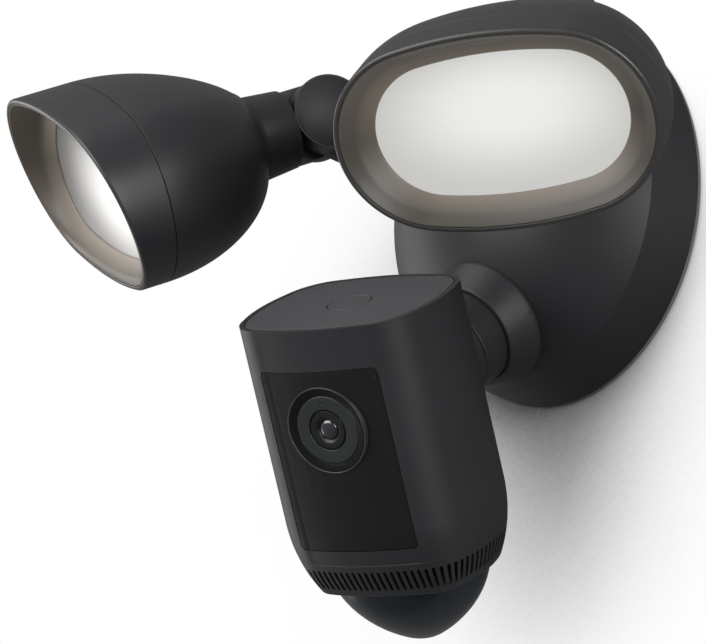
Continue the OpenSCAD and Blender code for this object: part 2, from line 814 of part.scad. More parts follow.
module camera_saddle() {
    color(charcoal) saddle_frame() difference() {
        translate([0, 0, saddle_rim]) cylinder(r = socket_r + saddle_wall, h = 2 * ball_back);
        sphere(socket_r);
        translate([0, body_l - ball_drop, body_b + ball_back]) rotate([90, 0, 0])
            linear_extrude(2 * body_l) body_section();
        saddle_side(ball_back + body_b / 2);
    }
}

// Camera

module panel_window(grow) {
    w = panel_hw + grow;
    r = panel_corner_r + grow;
    top = -panel_top + grow;
    low = panel_bottom - body_l - grow;
    translate([0, 0, 0]) rotate([90, 0, 0]) linear_extrude(body_b + 5) {
        translate([-w, low + r]) square([2 * w, top - low - 2 * r]);
        translate([-w + r, low]) square([2 * w - 2 * r, top - low]);
        for (i = [-1, 1], z = [low + r, top - r]) translate([i * (w - r), z]) circle(r);
    }
}

// Children along the lens axis, z out of the camera's front, from its middle plane.
module lens_axis() {
    translate([0, 0, -lens_drop]) rotate([90, 0, 0]) children();
}

module camera_shell() {
    color(charcoal) camera_frame() difference() {
        intersection() {
            body_solid(0);
            translate([-2 * body_a, -2 * body_a, -body_l]) cube([4 * body_a, 4 * body_a, 2 * body_l]);
        }
        translate([0, 0, -lid_t]) linear_extrude(lid_t + 1) body_section(lid_rim);
        translate([0, 0, -body_l - 1]) linear_extrude(body_l + 2) body_section(body_wall);
        intersection() {
            panel_window(hairline);
            translate([0, 0, -body_l]) linear_extrude(body_l) difference() {
                square(4 * body_a, center = true);
                body_section(panel_t + panel_seat);
            }
        }
        lens_axis() cylinder(r = lens_bezel_r + pin_play, h = 2 * body_b);
        translate([0, body_b + ball_back, -ball_drop]) sphere(socket_r);
    }
}

module camera_lid() {
    color(charcoal) camera_frame() difference() {
        translate([0, 0, -lid_t]) linear_extrude(lid_t) body_section(lid_rim + hairline);
        translate([0, 0, -lid_t - 1]) cylinder(r = button_r + hairline, h = lid_t + 2);
    }
}

module setup_button() {
    color(charcoal) camera_frame() translate([0, 0, -lid_t]) cylinder(r = button_r, h = lid_t);
}

module button_switch() {
    depth = lid_t + button_travel + run_gap;
    color("silver") camera_frame() {
        translate([-4, -4, -depth - switch_t]) cube([8, 8, switch_t]);
        translate([-body_a + body_wall + seat_play, -6, -depth - switch_t - board_t])
            cube([2 * (body_a - body_wall - seat_play), 12, board_t]);
    }
}

module front_panel() {
    color([0.05, 0.05, 0.055]) camera_frame() difference() {
        intersection() {
            panel_window(0);
            body_solid(panel_seat);
        }
        translate([0, 0, -body_l]) linear_extrude(2 * body_l) body_section(panel_t + panel_seat);
        lens_axis() cylinder(r = lens_bezel_r + pin_play, h = 2 * body_b);
    }
}

module lens_bezel() {
    color([0.2, 0.2, 0.2]) camera_frame() lens_axis() difference() {
        translate([0, 0, body_b - body_wall - 2])
            cylinder(r = lens_bezel_r, h = body_wall + 2 + lens_proud);
        translate([0, 0, body_b - lens_glass_t])
            cylinder(r = lens_bezel_r - lens_bezel_w, h = 2 * lens_glass_t);
        cylinder(r = lens_bezel_r - lens_bezel_w - 1.5, h = 2 * body_b);
    }
}

module lens_glass() {
    color([0.2, 0.25, 0.22]) camera_frame() lens_axis() difference() {
        translate([0, 0, body_b - lens_glass_t])
            cylinder(r = lens_bezel_r - lens_bezel_w - pin_play, h = lens_glass_t);
        cylinder(r = element_r + 2 + pin_play, h = 2 * body_b);
    }
}

module lens_barrel() {
    color("black") camera_frame() lens_axis() {
        translate([0, 0, -board_y]) cylinder(r = barrel_r, h = body_b + board_y - lens_glass_t - 0.2);
        translate([0, 0, body_b - lens_glass_t - 0.2]) cylinder(r = element_r + 2, h = lens_glass_t - 0.2);
        translate([0, 0, body_b - 0.4 - element_r]) intersection() {
            sphere(element_r);
            cylinder(r = element_r, h = element_r);
        }
    }
}

module infrared_emitter() {
    color("dimgray") camera_frame() lens_axis()
        translate([0, (barrel_r + lens_bezel_r - lens_bezel_w - 1.5) / 2, -board_y])
        cylinder(r = emitter_r, h = body_b + board_y - lens_glass_t);
}

module main_board() {
    low = body_l - 10;
    color(board_green) camera_frame() difference() {
        translate([-(body_a - body_wall - 0.6), board_y, -low])
            cube([2 * (body_a - body_wall - 0.6), board_t, low - 14]);
    }
}

// Foot of the camera

module foot_frame() {
    camera_frame() translate([0, 0, -body_l]) children();
}

// Profile from -low to top moved out by d, filled back to the axis.
module moved_profile(d, low, top) {
    intersection() {
        union() {
            translate([d, 0]) children();
            translate([0, -low]) square([max(d, 0.001), low + top]);
        }
        translate([0, -2 * low]) square([2000, 4 * (low + top)]);
    }
}

// Body section drawn along a profile: the child is the profile at half depth b.
module body_drawn(b, low, top) {
    inset = body_b - b;
    a = body_a - inset;
    rc = body_corner_r - inset;
    front_r = front_arc(b, rc);
    side_r = side_arc(a, rc);
    fx = front_clip(b, rc);
    sy = side_clip(a, rc);
    for (i = [-1, 1], j = [-1, 1]) translate([i * body_corner_x, j * body_corner_y, 0])
        rotate_extrude() moved_profile(rc - b, low, top) children();
    intersection() {
        translate([0, front_r - b, 0]) rotate_extrude() moved_profile(front_r - b, low, top) children();
        translate([0, b - front_r, 0]) rotate_extrude() moved_profile(front_r - b, low, top) children();
        translate([-fx, -2 * b, -low]) cube([2 * fx, 4 * b, low + top]);
    }
    intersection() {
        translate([side_r - a, 0, 0]) rotate_extrude() moved_profile(side_r - b, low, top) children();
        translate([a - side_r, 0, 0]) rotate_extrude() moved_profile(side_r - b, low, top) children();
        translate([-2 * a, -sy, -low]) cube([4 * a, 2 * sy, low + top]);
    }
}

// Half profile of the body at half depth b: upright to the top, drawn in below.
module flank_profile(b, top) {
    intersection() {
        translate([body_b - flank_r, 0]) circle(flank_r - (body_b - b), $fn = 200);
        translate([0, -foot_h]) square([2 * body_b, foot_h]);
    }
    translate([0, -foot_h]) square([b - lip_inset - 1, foot_h + top]);
    square([b, top]);
}

// Body from the lid to the lower lip, in the camera's axes.
module body_solid(inset) {
    top = body_l - draw_h;
    translate([0, 0, -top]) body_drawn(body_b - inset, foot_h, top) flank_profile(body_b - inset, top);
}

module pir_oval(grow) {
    oval(pir_a + grow, pir_b + grow, pir_end_r + grow);
}

module grille_ring() {
    color(charcoal) foot_frame() difference() {
        intersection() {
            translate([0, 0, body_l]) body_solid(0);
            translate([-2 * body_a, -2 * body_a, -body_l]) cube([4 * body_a, 4 * body_a, body_l]);
        }
        translate([0, 0, lip_ledge - grille_h]) linear_extrude(grille_h - lip_ledge - floor_t)
            pir_oval(flange_w + run_gap);
        translate([0, 0, -grille_h - 1]) linear_extrude(grille_h - floor_t) pir_oval(run_gap / 2);
        for (i = [0:slots - 1]) slot(360 * i / slots);
    }
}

module slot(t) {
    p = [(body_a - lip_inset) * cos(t), (body_b - lip_inset) * sin(t)];
    turn = atan2((body_a - lip_inset) * sin(t), (body_b - lip_inset) * cos(t));
    translate([p[0], p[1], -slot_drop - slot_h]) rotate([0, 0, turn])
        translate([-2.2, -slot_w / 2, 0]) cube([14, slot_w, slot_h]);
}

// Half width of the ogive at a depth d below the lip: a flank arc that runs into a round tip.
function pir_w(d) =
    let (tip = pir_tip_r - pir_h, span = norm([pir_b, tip]), reach = pir_flank_r - pir_tip_r,
        bend = acos((reach * reach + span * span - pir_flank_r * pir_flank_r) / (2 * reach * span)),
        turn = atan2(-tip, pir_b) + bend, c = [0, tip] + reach * [cos(turn), sin(turn)],
        join = tip - pir_tip_r * sin(turn))
    -d > join ? c[0] + sqrt(max(0, pow(pir_flank_r, 2) - pow(c[1] + d, 2)))
    : sqrt(max(0, pow(pir_tip_r, 2) - pow(tip + d, 2)));
function pir_depth(i) = i == pir_rings ? pir_h - 0.03 : pir_h * sin(90 * i / pir_rings);
function pir_ring(grow, d) = ring(pir_a + grow, pir_b + grow, 2.1, d);
function pir_level(i, size, h) =
    let (d = pir_depth(i), w = pir_w(d) / pir_b)
    ring(pir_a * w * size, pir_b * w * size, 2.1, d * h / pir_h);

module motion_dome() {
    inner = 1 - pir_wall / pir_b;
    inside = [for (i = [pir_rings:-1:0]) pir_level(i, inner, pir_h - pir_wall)];
    flange = [ring(pir_a * inner, pir_b * inner, 2.1, -lip_ledge - flange_t),
        pir_ring(flange_w, -lip_ledge - flange_t), pir_ring(flange_w, -lip_ledge), pir_ring(0, -lip_ledge)];
    outside = [for (i = [0:pir_rings]) pir_level(i, 1, pir_h)];
    color([0.08, 0.09, 0.11]) foot_frame() translate([0, 0, -grille_h])
        skin(concat(inside, flange, outside));
}

module motion_sensor() {
    color("silver") foot_frame() translate([0, 0, -floor_t - 7]) cylinder(d = 9.2, h = 7);
}

module speaker() {
    color("black") foot_frame() cylinder(r = speaker_r, h = 8);
}

wall_gasket();
wall_bracket();
wire_grommet();
box_screws();
driver_standoffs();
driver_board();
driver_parts();
terminal_block();
canopy_ring();
canopy_dome();
canopy_screws();
camera_collar();
arm_ring(-1);  // arm_ring_left
arm_ring(1);  // arm_ring_right
arm(-1);  // arm_left
arm(1);  // arm_right
arm_nut(-1);  // arm_nut_left
arm_nut(1);  // arm_nut_right
hinge_pin(-1);  // hinge_pin_left
hinge_pin(1);  // hinge_pin_right
clevis(-1);  // clevis_left
clevis(1);  // clevis_right
bell(-1);  // bell_left
bell(1);  // bell_right
heat_sink(-1);  // heat_sink_left
heat_sink(1);  // heat_sink_right
led_board(-1);  // led_board_left
led_board(1);  // led_board_right
diffuser_seal(-1);  // diffuser_seal_left
diffuser_seal(1);  // diffuser_seal_right
diffuser(-1);  // diffuser_left
diffuser(1);  // diffuser_right
bezel(-1);  // bezel_left
bezel(1);  // bezel_right
visor(-1);  // visor_left
visor(1);  // visor_right
camera_neck();
ball_stud();
cable_bush();
ball_liner();
camera_saddle();
camera_shell();
camera_lid();
setup_button();
button_switch();
front_panel();
lens_bezel();
lens_glass();
lens_barrel();
infrared_emitter();
main_board();
speaker();
grille_ring();
motion_dome();
motion_sensor();
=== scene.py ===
import math

import bmesh
import bpy
from bpy.props import FloatProperty, FloatVectorProperty, IntProperty, PointerProperty
from mathutils import Matrix, Vector


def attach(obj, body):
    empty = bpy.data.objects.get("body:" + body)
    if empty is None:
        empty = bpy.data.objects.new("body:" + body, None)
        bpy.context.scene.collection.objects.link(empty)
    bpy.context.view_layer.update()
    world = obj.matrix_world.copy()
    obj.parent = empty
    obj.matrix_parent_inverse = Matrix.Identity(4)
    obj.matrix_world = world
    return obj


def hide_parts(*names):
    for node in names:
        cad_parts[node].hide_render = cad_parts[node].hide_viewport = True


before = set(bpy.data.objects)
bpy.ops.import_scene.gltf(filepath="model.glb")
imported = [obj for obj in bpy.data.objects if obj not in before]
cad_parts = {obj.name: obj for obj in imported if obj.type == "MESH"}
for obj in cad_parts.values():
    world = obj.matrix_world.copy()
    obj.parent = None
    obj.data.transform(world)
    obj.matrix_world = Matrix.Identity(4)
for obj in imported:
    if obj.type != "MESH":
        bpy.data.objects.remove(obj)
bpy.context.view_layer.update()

bl_info = {
    "name": "Wall floodlight with camera",
    "version": (1, 0, 0),
    "blender": (4, 5, 0),
    "location": "View3D > Sidebar > Floodlight",
    "description": "Dresses the packed floodlight camera and sets its stage",
    "category": "Object",
}

MM = 0.001
SIDES = {"left": -1, "right": 1}
OVAL_POINTS, BODY_POINTS = 192, 240
SHARP, BEVELLED = math.radians(32), math.radians(30)
AXIS_R, SEAM_EDGE, FILLET_LAND = 0.02 * MM, 0.22 * MM, 0.6
COAT_ROUGHNESS, BUMP_STRENGTH = 0.12, 0.35
PICTURE_W, FOCAL_LENGTH = 706, 4000
EYE = (0.94798, -0.89734, -0.357)
EYE_RIGHT, EYE_UP = (0.6468, 0.7627, 0), (0.1819, -0.1543, 0.9711)
LIGHTS = (  # name, place, target, size, watts
    ("front_key", (-0.35, -2.1, 0.7), (0, -0.06, -0.02), (2.0, 2.0), 45),
    ("right_card", (1.8, -0.6, -0.05), (0, -0.08, 0), (1.0, 1.3), 24),
    ("left_card", (-1.7, -0.35, -0.1), (-0.05, -0.1, 0), (0.7, 1.6), 8),
    ("top_light", (-0.45, -1.0, 1.9), (0, -0.08, 0), (1.5, 1.1), 9))
# Glow of each window, from its dim rim to its bright spot. This is partly the diffuser's own glow and partly
# painted shade; the left window's near-black dim side is painted shade.
WINDOW_GLOW_AND_PAINTED_SHADE = {"left": ((0.05, 0.043, 0.037), (0.84, 0.825, 0.79)),
                "right": ((0.42, 0.415, 0.40), (0.68, 0.685, 0.66))}
WINDOW_SPOT = {"left": (0.42, -0.05, 0.0), "right": (0.05, 0.25, 0.0)}


def length(name, description, default_mm):
    """A size property in metres, given in millimetres."""
    return FloatProperty(name=name, description=description, default=default_mm * MM,
                         precision=5, subtype="DISTANCE", unit="LENGTH")


def angle(name, description, degrees):
    """An angle property in radians, given in degrees."""
    return FloatProperty(name=name, description=description, default=math.radians(degrees),
                         subtype="ANGLE", unit="ROTATION")


def colour(name, description, rgb):
    """A linear colour property."""
    return FloatVectorProperty(name=name, description=description, default=rgb, size=3,
                               min=0, max=1, subtype="COLOR")


class CanopySizes(bpy.types.PropertyGroup):
    dome_r: length("Dome radius", "Radius of the spherical front", 77.5)
    crease_r: length("Crease radius", "Radius where ring and dome meet", 62.3)
    ring_depth: length("Ring depth", "From the wall to the crease", 19.5)
    edge: length("Edge", "Rounding of the moulded edges", 0.55)


class LampSizes(bpy.types.PropertyGroup):
    arm_az: angle("Arm azimuth", "Azimuth of each arm", 35.6)
    arm_el: angle("Arm elevation", "Elevation of each arm", 19.8)
    knuckle: length("Knuckle distance", "From the dome's centre to the knuckle", 109.1)
    cheek_r: length("Cheek radius", "Radius of a knuckle cheek", 12.9)
    cheek_w: length("Cheek reach", "From the knuckle's middle to a cheek's outer end", 11)
    cheek_crown: length("Cheek crown", "Rise of a cheek's outer end", 2.2)
    right_az: angle("Right azimuth", "Aim of the right lamp", 30.9)
    right_el: angle("Right elevation", "Aim of the right lamp", -35.5)
    right_roll: angle("Right roll", "Roll of the right lamp", 1.8)
    left_az: angle("Left azimuth", "Aim of the left lamp", -23.5)
    left_el: angle("Left elevation", "Aim of the left lamp", -21.5)
    left_roll: angle("Left roll", "Roll of the left lamp", -28.4)
    head_a: length("Half width", "Half width of a lamp head", 51.2)
    head_b: length("Half height", "Half height of a lamp head", 32.5)
    end_r: length("End radius", "Radius of the round ends", 30.4)
    wall: length("Wall", "Wall of bell and visor", 2.3)
    seam: length("Seam reach", "From the knuckle to the seam", 77.5)
    bell_l: length("Bell length", "From the seam to the neck", 49.5)
    neck_root_r: length("Neck root", "Radius of the neck at the bell", 14.8)
    neck_tip_r: length("Neck tip", "Radius of the neck at the knuckle", 13.7)
    neck_tip: length("Neck end", "Depth of the neck's end behind the seam", 64.0)
    fillet: length("Fillet", "Fillet between bell and neck", 4)
    bore_r: length("Bore", "Radius of the bore in the neck", 9.05)
    rim: length("Rim", "Wall of the visor at its mouth", 1.7)
    right_visor_l: length("Right visor length", "Middle length of the right visor", 13.4)
    right_slope: FloatProperty(name="Right mouth slope", description="Rise with height", default=0.075)
    left_visor_l: length("Left visor length", "Middle length of the left visor", 15.2)
    left_slope: FloatProperty(name="Left mouth slope", description="Rise with height", default=0.195)
    window_a: length("Window half width", "Half width of the lit window", 40)
    window_b: length("Window half height", "Half height of the lit window", 22.5)
    window_r: length("Window end radius", "Radius of the window's ends", 20.9)


class CameraSizes(bpy.types.PropertyGroup):
    neck_drop: angle("Neck drop", "Angle of the neck below level", 34.6)
    ball: length("Ball distance", "From the dome's centre to the ball's", 102.7)
    pan: angle("Pan", "Pan of the camera", 13)
    tilt: angle("Tilt", "Tilt of the camera", 30.4)
    roll: angle("Roll", "Roll of the camera", 5.9)
    body_a: length("Half width", "Half width of the body", 34.5)
    body_b: length("Half depth", "Half depth of the body", 27.5)
    corner_r: length("Corner radius", "Corner radius of the body", 15)
    corner_x: length("Corner x", "Across-centre of a corner", 17.8)
    corner_y: length("Corner y", "Fore-and-aft centre of a corner", 10.5)
    body_l: length("Body length", "From the lid to the grille seam", 79)
    ball_drop: length("Ball drop", "Ball's centre below the lid", 33.2)
    ball_back: length("Ball back", "Ball's centre behind the back", 13.2)
    panel_hw: length("Panel half width", "Half width of the front panel", 21.8)
    panel_top: length("Panel top", "Top of the panel below the lid", 13.8)
    lens_drop: length("Lens drop", "Lens axis below the lid", 32.9)
    lens_r: length("Lens ring", "Outer radius of the lens ring", 14.3)
    grille_h: length("Grille height", "Height of the grille ring", 12.5)
    draw_h: length("Draw height", "Height above the seam where the body draws in", 12.5)
    lip_inset: length("Lip inset", "Inset of the lower lip", 6.5)
    slots: IntProperty(name="Slots", description="Number of grille slots", default=80, min=12)
    slot_w: length("Slot width", "Width of a slot", 1.18)
    slot_h: length("Slot height", "Height of a slot", 7.4)
    slot_drop: length("Slot drop", "Top of the slots below the seam", 2.5)
    pir_a: length("Dome half width", "Half width of the sensor dome", 27.1)
    pir_b: length("Dome half depth", "Half depth of the sensor dome", 20.2)
    pir_h: length("Dome height", "Height of the sensor dome", 22.2)


class Finishes(bpy.types.PropertyGroup):
    charcoal: colour("Charcoal", "Housing colour", (0.0174, 0.0183, 0.0201))
    lid: colour("Lid", "Lid colour", (0.049, 0.0505, 0.0535))
    panel: colour("Panel", "Front panel colour", (0.006, 0.0063, 0.007))
    taupe: colour("Taupe", "Bezel colour", (0.056, 0.048, 0.039))
    window: colour("Window", "Diffuser colour", (0.2, 0.2, 0.194))
    sensor: colour("Sensor dome", "Sensor dome colour", (0.0075, 0.0115, 0.0165))


class FloodlightSettings(bpy.types.PropertyGroup):
    canopy: PointerProperty(type=CanopySizes)
    lamp: PointerProperty(type=LampSizes)
    camera: PointerProperty(type=CameraSizes)
    finish: PointerProperty(type=Finishes)


def settings():
    """Sizes and finishes of the floodlight."""
    return bpy.context.scene.floodlight


# Places of the pieces


def aim(az, el):
    """Direction from azimuth (0 is the front) and elevation."""
    return Vector((math.sin(az) * math.cos(el), -math.cos(az) * math.cos(el), math.sin(el)))


def along(az, el, roll):
    """Turn that points z along an aim, with x on the level axis turned by roll."""
    return (Matrix.Rotation(az, 4, "Z") @ Matrix.Rotation(math.pi / 2 - el, 4, "X")
            @ Matrix.Rotation(roll, 4, "Z"))


def dome_centre():
    """Centre of the canopy's spherical front."""
    c = settings().canopy
    return Vector((0, math.sqrt(c.dome_r ** 2 - c.crease_r ** 2) - c.ring_depth, 0))


def lamp_place(side):
    """Lamp frame: origin at the seam, z towards the light, y up."""
    p = settings().lamp
    s = SIDES[side]
    az, el, roll = (getattr(p, f"{side}_{k}") for k in ("az", "el", "roll"))
    knuckle = dome_centre() + p.knuckle * aim(s * p.arm_az, p.arm_el)
    return Matrix.Translation(knuckle) @ along(az, el, roll) @ Matrix.Translation((0, 0, p.seam))


def camera_place():
    """Camera frame: origin at the lid's centre, front -y, up z."""
    p = settings().camera
    ball = dome_centre() + p.ball * aim(0, -p.neck_drop)
    turn = (Matrix.Rotation(p.pan, 4, "Z") @ Matrix.Rotation(p.tilt, 4, "X")
            @ Matrix.Rotation(p.roll, 4, "Y"))
    return (Matrix.Translation(ball) @ turn
            @ Matrix.Translation((0, -(p.body_b + p.ball_back), p.ball_drop)))


def lens_place():
    """Lens frame: z out of the camera's front, origin in the body's middle plane."""
    p = settings().camera
    return camera_place() @ Matrix.Translation((0, 0, -p.lens_drop)) @ Matrix.Rotation(math.pi / 2, 4, "X")


def foot_place():
    """Foot frame: the camera frame moved down to the grille seam."""
    p = settings().camera
    return camera_place() @ Matrix.Translation((0, 0, -p.body_l))


# Mesh tools


def link(name, mesh):
    """New object in the scene."""
    piece = bpy.data.objects.new(name, mesh)
    bpy.context.scene.collection.objects.link(piece)
    return piece


def finish_piece(piece, body, material, slot, replaced=()):
    """Gives a piece its material and body, and hides the CAD nodes that it stands for; the slot is not used.
    """
    if material:
        piece.data.materials.clear()
        piece.data.materials.append(material)
    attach(piece, body)
    if replaced:
        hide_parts(*replaced)
    return piece


def mesh_from(name, verts, faces, place):
    """Smooth-shaded object from points and faces, with outward normals and sharp edges by angle."""
    mesh = bpy.data.meshes.new(name)
    mesh.from_pydata([tuple(v) for v in verts], [], faces)
    bm = bmesh.new()
    bm.from_mesh(mesh)
    bmesh.ops.remove_doubles(bm, verts=bm.verts, dist=1e-7)
    bmesh.ops.recalc_face_normals(bm, faces=bm.faces)
    bm.to_mesh(mesh)
    bm.free()
    if place:
        mesh.transform(place)
    mesh.shade_smooth()
    mesh.set_sharp_from_angle(angle=SHARP)
    return link(name, mesh)


def strips(rings, closed):
    """Quads between rings of equal length; a closed list of rings joins its last to its first."""
    n = len(rings[0])
    count = len(rings) if closed else len(rings) - 1
    faces = []
    for i in range(count):
        a, b = i * n, (i + 1) % len(rings) * n
        faces += [(a + j, b + j, b + (j + 1) % n, a + (j + 1) % n) for j in range(n)]
    return faces


def loft(name, rings, place, closed=True):
    """Solid through rings of points: a closed loop of rings, or an open run with both ends capped."""
    verts = [p for r in rings for p in r]
    faces = strips(rings, closed)
    if not closed:
        n = len(rings[0])
        faces += [tuple(range(n)), tuple(len(verts) - 1 - j for j in range(n))]
    return mesh_from(name, verts, faces, place)


def rounded(corners):
    """Closed outline from corners (x, y, radius), each rounded by its radius."""
    out, n, steps = [], len(corners), 5
    for i in range(n):
        here = Vector(corners[i][:2])
        r = corners[i][2]
        if r <= 0:
            out.append(here)
            continue
        back = (Vector(corners[i - 1][:2]) - here).normalized()
        ahead = (Vector(corners[(i + 1) % n][:2]) - here).normalized()
        half = back.angle(ahead) / 2
        cut = r / math.tan(half)
        centre = here + (back + ahead).normalized() * (r / math.sin(half))
        start, end = here + back * cut - centre, here + ahead * cut - centre
        sweep = start.angle_signed(end)
        for k in range(steps + 1):
            out.append(centre + Matrix.Rotation(-sweep * k / steps, 2) @ start)
    return out


def turns(n):
    """Cosine and sine of n even steps round a circle."""
    return [(math.cos(2 * math.pi * i / n), math.sin(2 * math.pi * i / n)) for i in range(n)]


def lathe(name, corners, place, segments=128):
    """Turned piece from a closed outline of corners (radius, height, rounding)."""
    rings = [[(p.x * c, p.x * s, p.y) for c, s in turns(segments)] for p in rounded(corners)]
    return loft(name, rings, place)


def level(points, z):
    """Ring of outline points at one height."""
    return [(x, y, z) for x, y in points]


def oval(a, b, r, n=OVAL_POINTS):
    """Four-centre oval by the angle of its outward normal."""
    side = ((a - r) ** 2 + b * b - r * r) / (2 * max(b - r, 1e-9))
    hand_over = math.atan2(side - b, max(a - r, 1e-9))
    points = []
    for c, s in turns(n):
        if abs(math.atan2(s, abs(c))) <= hand_over:
            points.append((math.copysign(a - r, c) + r * c, r * s))
        else:
            points.append((side * c, side * s - math.copysign(side - b, s)))
    return points


def body_outline(inset, n=BODY_POINTS):
    """Rounded-square section of the camera by the angle of its outward normal."""
    p = settings().camera
    a, b, rc = p.body_a - inset, p.body_b - inset, p.corner_r - inset
    cx, cy = p.corner_x, p.corner_y
    front = (cx * cx + (b - cy) ** 2 - rc * rc) / (2 * (b - cy - rc))
    side = (cy * cy + (a - cx) ** 2 - rc * rc) / (2 * (a - cx - rc))
    low = math.atan2(cy, side - a + cx)
    high = math.atan2(front - b + cy, cx)
    points = []
    for c, s in turns(n):
        lean = math.atan2(abs(s), abs(c))
        if lean < low:
            points.append((side * c - math.copysign(side - a, c), side * s))
        elif lean > high:
            points.append((front * c, front * s - math.copysign(front - b, s)))
        else:
            points.append((math.copysign(cx, c) + rc * c, math.copysign(cy, s) + rc * s))
    return points


def softened(node, name, width):
    """Copy of a CAD node with its edges rounded."""
    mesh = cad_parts[node].data.copy()
    mesh.name = name
    bm = bmesh.new()
    bm.from_mesh(mesh)
    bmesh.ops.remove_doubles(bm, verts=bm.verts, dist=2e-6)
    bmesh.ops.dissolve_degenerate(bm, edges=bm.edges, dist=1e-6)
    bmesh.ops.dissolve_limit(bm, angle_limit=math.radians(0.4), verts=bm.verts, edges=bm.edges)
    bm.to_mesh(mesh)
    bm.free()
    piece = link(name, mesh)
    bevel = piece.modifiers.new("Rounded edges", "BEVEL")
    bevel.width = width
    bevel.segments = 3
    bevel.limit_method = "ANGLE"
    bevel.angle_limit = BEVELLED
    bevel.use_clamp_overlap = True
    even = piece.modifiers.new("Even shading", "WEIGHTED_NORMAL")
    even.weight = 90
    even.keep_sharp = True
    mesh.shade_smooth()
    return applied(piece)


def applied(piece):
    """The piece with its modifiers turned into plain mesh."""
    bpy.context.view_layer.update()
    evaluated = piece.evaluated_get(bpy.context.evaluated_depsgraph_get())
    mesh = bpy.data.meshes.new_from_object(evaluated)
    mesh.name = piece.name
    piece.modifiers.clear()
    old = piece.data
    piece.data = mesh
    bpy.data.meshes.remove(old)
    return piece


# Shader groups and finishes


def new_group(name, inputs, outputs, kind="ShaderNodeTree"):
    """New node group with its sockets, and its input and output nodes."""
    group = bpy.data.node_groups.new(name, kind)
    for label, kind, value in inputs:
        socket = group.interface.new_socket(label, in_out="INPUT", socket_type=kind)
        if value is not None:
            socket.default_value = value
    for label, kind in outputs:
        group.interface.new_socket(label, in_out="OUTPUT", socket_type=kind)
    return group, group.nodes.new("NodeGroupInput"), group.nodes.new("NodeGroupOutput")


def set_inputs(node, values):
    """Sets inputs of a node, each by name or number."""
    for key, value in values.items():
        node.inputs[key].default_value = value


def add_node(tree, kind, values=None, **options):
    """New node with its options set before its inputs."""
    node = tree.nodes.new(kind)
    for key, value in options.items():
        setattr(node, key, value)
    set_inputs(node, values or {})
    return node


def wire(tree, *links):
    """Joins an output of one node to an input of another, each by name or number."""
    for source, output, target, entry in links:
        tree.links.new(source.outputs[output], target.inputs[entry])


def grain_group():
    """Fine pebble of a moulded or coated surface, and a slow mottle over it."""
    if "Moulded grain" in bpy.data.node_groups:
        return bpy.data.node_groups["Moulded grain"]
    group, put, out = new_group(
        "Moulded grain",
        [("Vector", "NodeSocketVector", None), ("Grain scale", "NodeSocketFloat", 1400.0),
         ("Mottle scale", "NodeSocketFloat", 26.0)],
        [("Height", "NodeSocketFloat"), ("Mottle", "NodeSocketFloat")])
    grain = add_node(group, "ShaderNodeTexNoise", {"Detail": 3, "Roughness": 0.6})
    pebble = add_node(group, "ShaderNodeTexVoronoi", feature="SMOOTH_F1")
    mottle = add_node(group, "ShaderNodeTexNoise", {"Detail": 4})
    add = add_node(group, "ShaderNodeMath", {1: 0.6}, operation="MULTIPLY_ADD")
    for node, scale in ((grain, "Grain scale"), (pebble, "Grain scale"), (mottle, "Mottle scale")):
        wire(group, (put, "Vector", node, "Vector"), (put, scale, node, "Scale"))
    wire(group, (pebble, "Distance", add, 0), (grain, "Fac", add, 2), (add, 0, out, "Height"),
         (mottle, "Fac", out, "Mottle"))
    return group


def brush_group():
    """Fine lines of drawn or plated metal."""
    if "Drawn lines" in bpy.data.node_groups:
        return bpy.data.node_groups["Drawn lines"]
    group, put, out = new_group(
        "Drawn lines",
        [("Vector", "NodeSocketVector", None), ("Stretch", "NodeSocketVector", (1.0, 1.0, 30.0)),
         ("Scale", "NodeSocketFloat", 300.0)],
        [("Height", "NodeSocketFloat"), ("Lines", "NodeSocketFloat")])
    scale = add_node(group, "ShaderNodeVectorMath", operation="MULTIPLY")
    lines = add_node(group, "ShaderNodeTexNoise", {"Detail": 5})
    wire(group, (put, "Vector", scale, 0), (put, "Stretch", scale, 1), (scale, 0, lines, "Vector"),
         (put, "Scale", lines, "Scale"), (lines, "Fac", out, "Height"), (lines, "Fac", out, "Lines"))
    return group


def shade(rgb, k):
    """Colour made k times as light, with its alpha."""
    return tuple(min(1.0, c * k) for c in rgb) + (1.0,)


def surface(name, rgb, rough, spread=0.08, contrast=0.12, grain=1400.0, depth=2e-5, metallic=0.0,
            coat=0.0, specular=0.5, lines=None):
    """Moulded, coated or metal finish with grain, mottled colour and uneven roughness."""
    if name in bpy.data.materials:
        return bpy.data.materials[name]
    material = bpy.data.materials.new(name)
    material.use_nodes = True
    tree = material.node_tree
    shader = tree.nodes["Principled BSDF"]
    set_inputs(shader, {"Metallic": metallic, "Coat Weight": coat, "Coat Roughness": COAT_ROUGHNESS,
                        "Specular IOR Level": specular})
    place = add_node(tree, "ShaderNodeTexCoord")
    if lines:
        varied, values, group = "Lines", {"Stretch": lines, "Scale": grain}, brush_group()
    else:
        varied, values, group = "Mottle", {"Grain scale": grain}, grain_group()
    effect = add_node(tree, "ShaderNodeGroup", values, node_tree=group)
    tint = add_node(tree, "ShaderNodeMix", {"A": shade(rgb, 1 - contrast), "B": shade(rgb, 1 + contrast)},
                    data_type="RGBA")
    polish = add_node(tree, "ShaderNodeMapRange", {"To Min": max(0.02, rough - spread),
                                                   "To Max": min(1.0, rough + spread)})
    bump = add_node(tree, "ShaderNodeBump", {"Strength": BUMP_STRENGTH, "Distance": depth})
    wire(tree, (place, "Object", effect, "Vector"), (effect, varied, tint, "Factor"),
         (tint, "Result", shader, "Base Color"), (effect, varied, polish, "Value"),
         (polish, "Result", shader, "Roughness"), (effect, "Height", bump, "Height"),
         (bump, "Normal", shader, "Normal"))
    return material


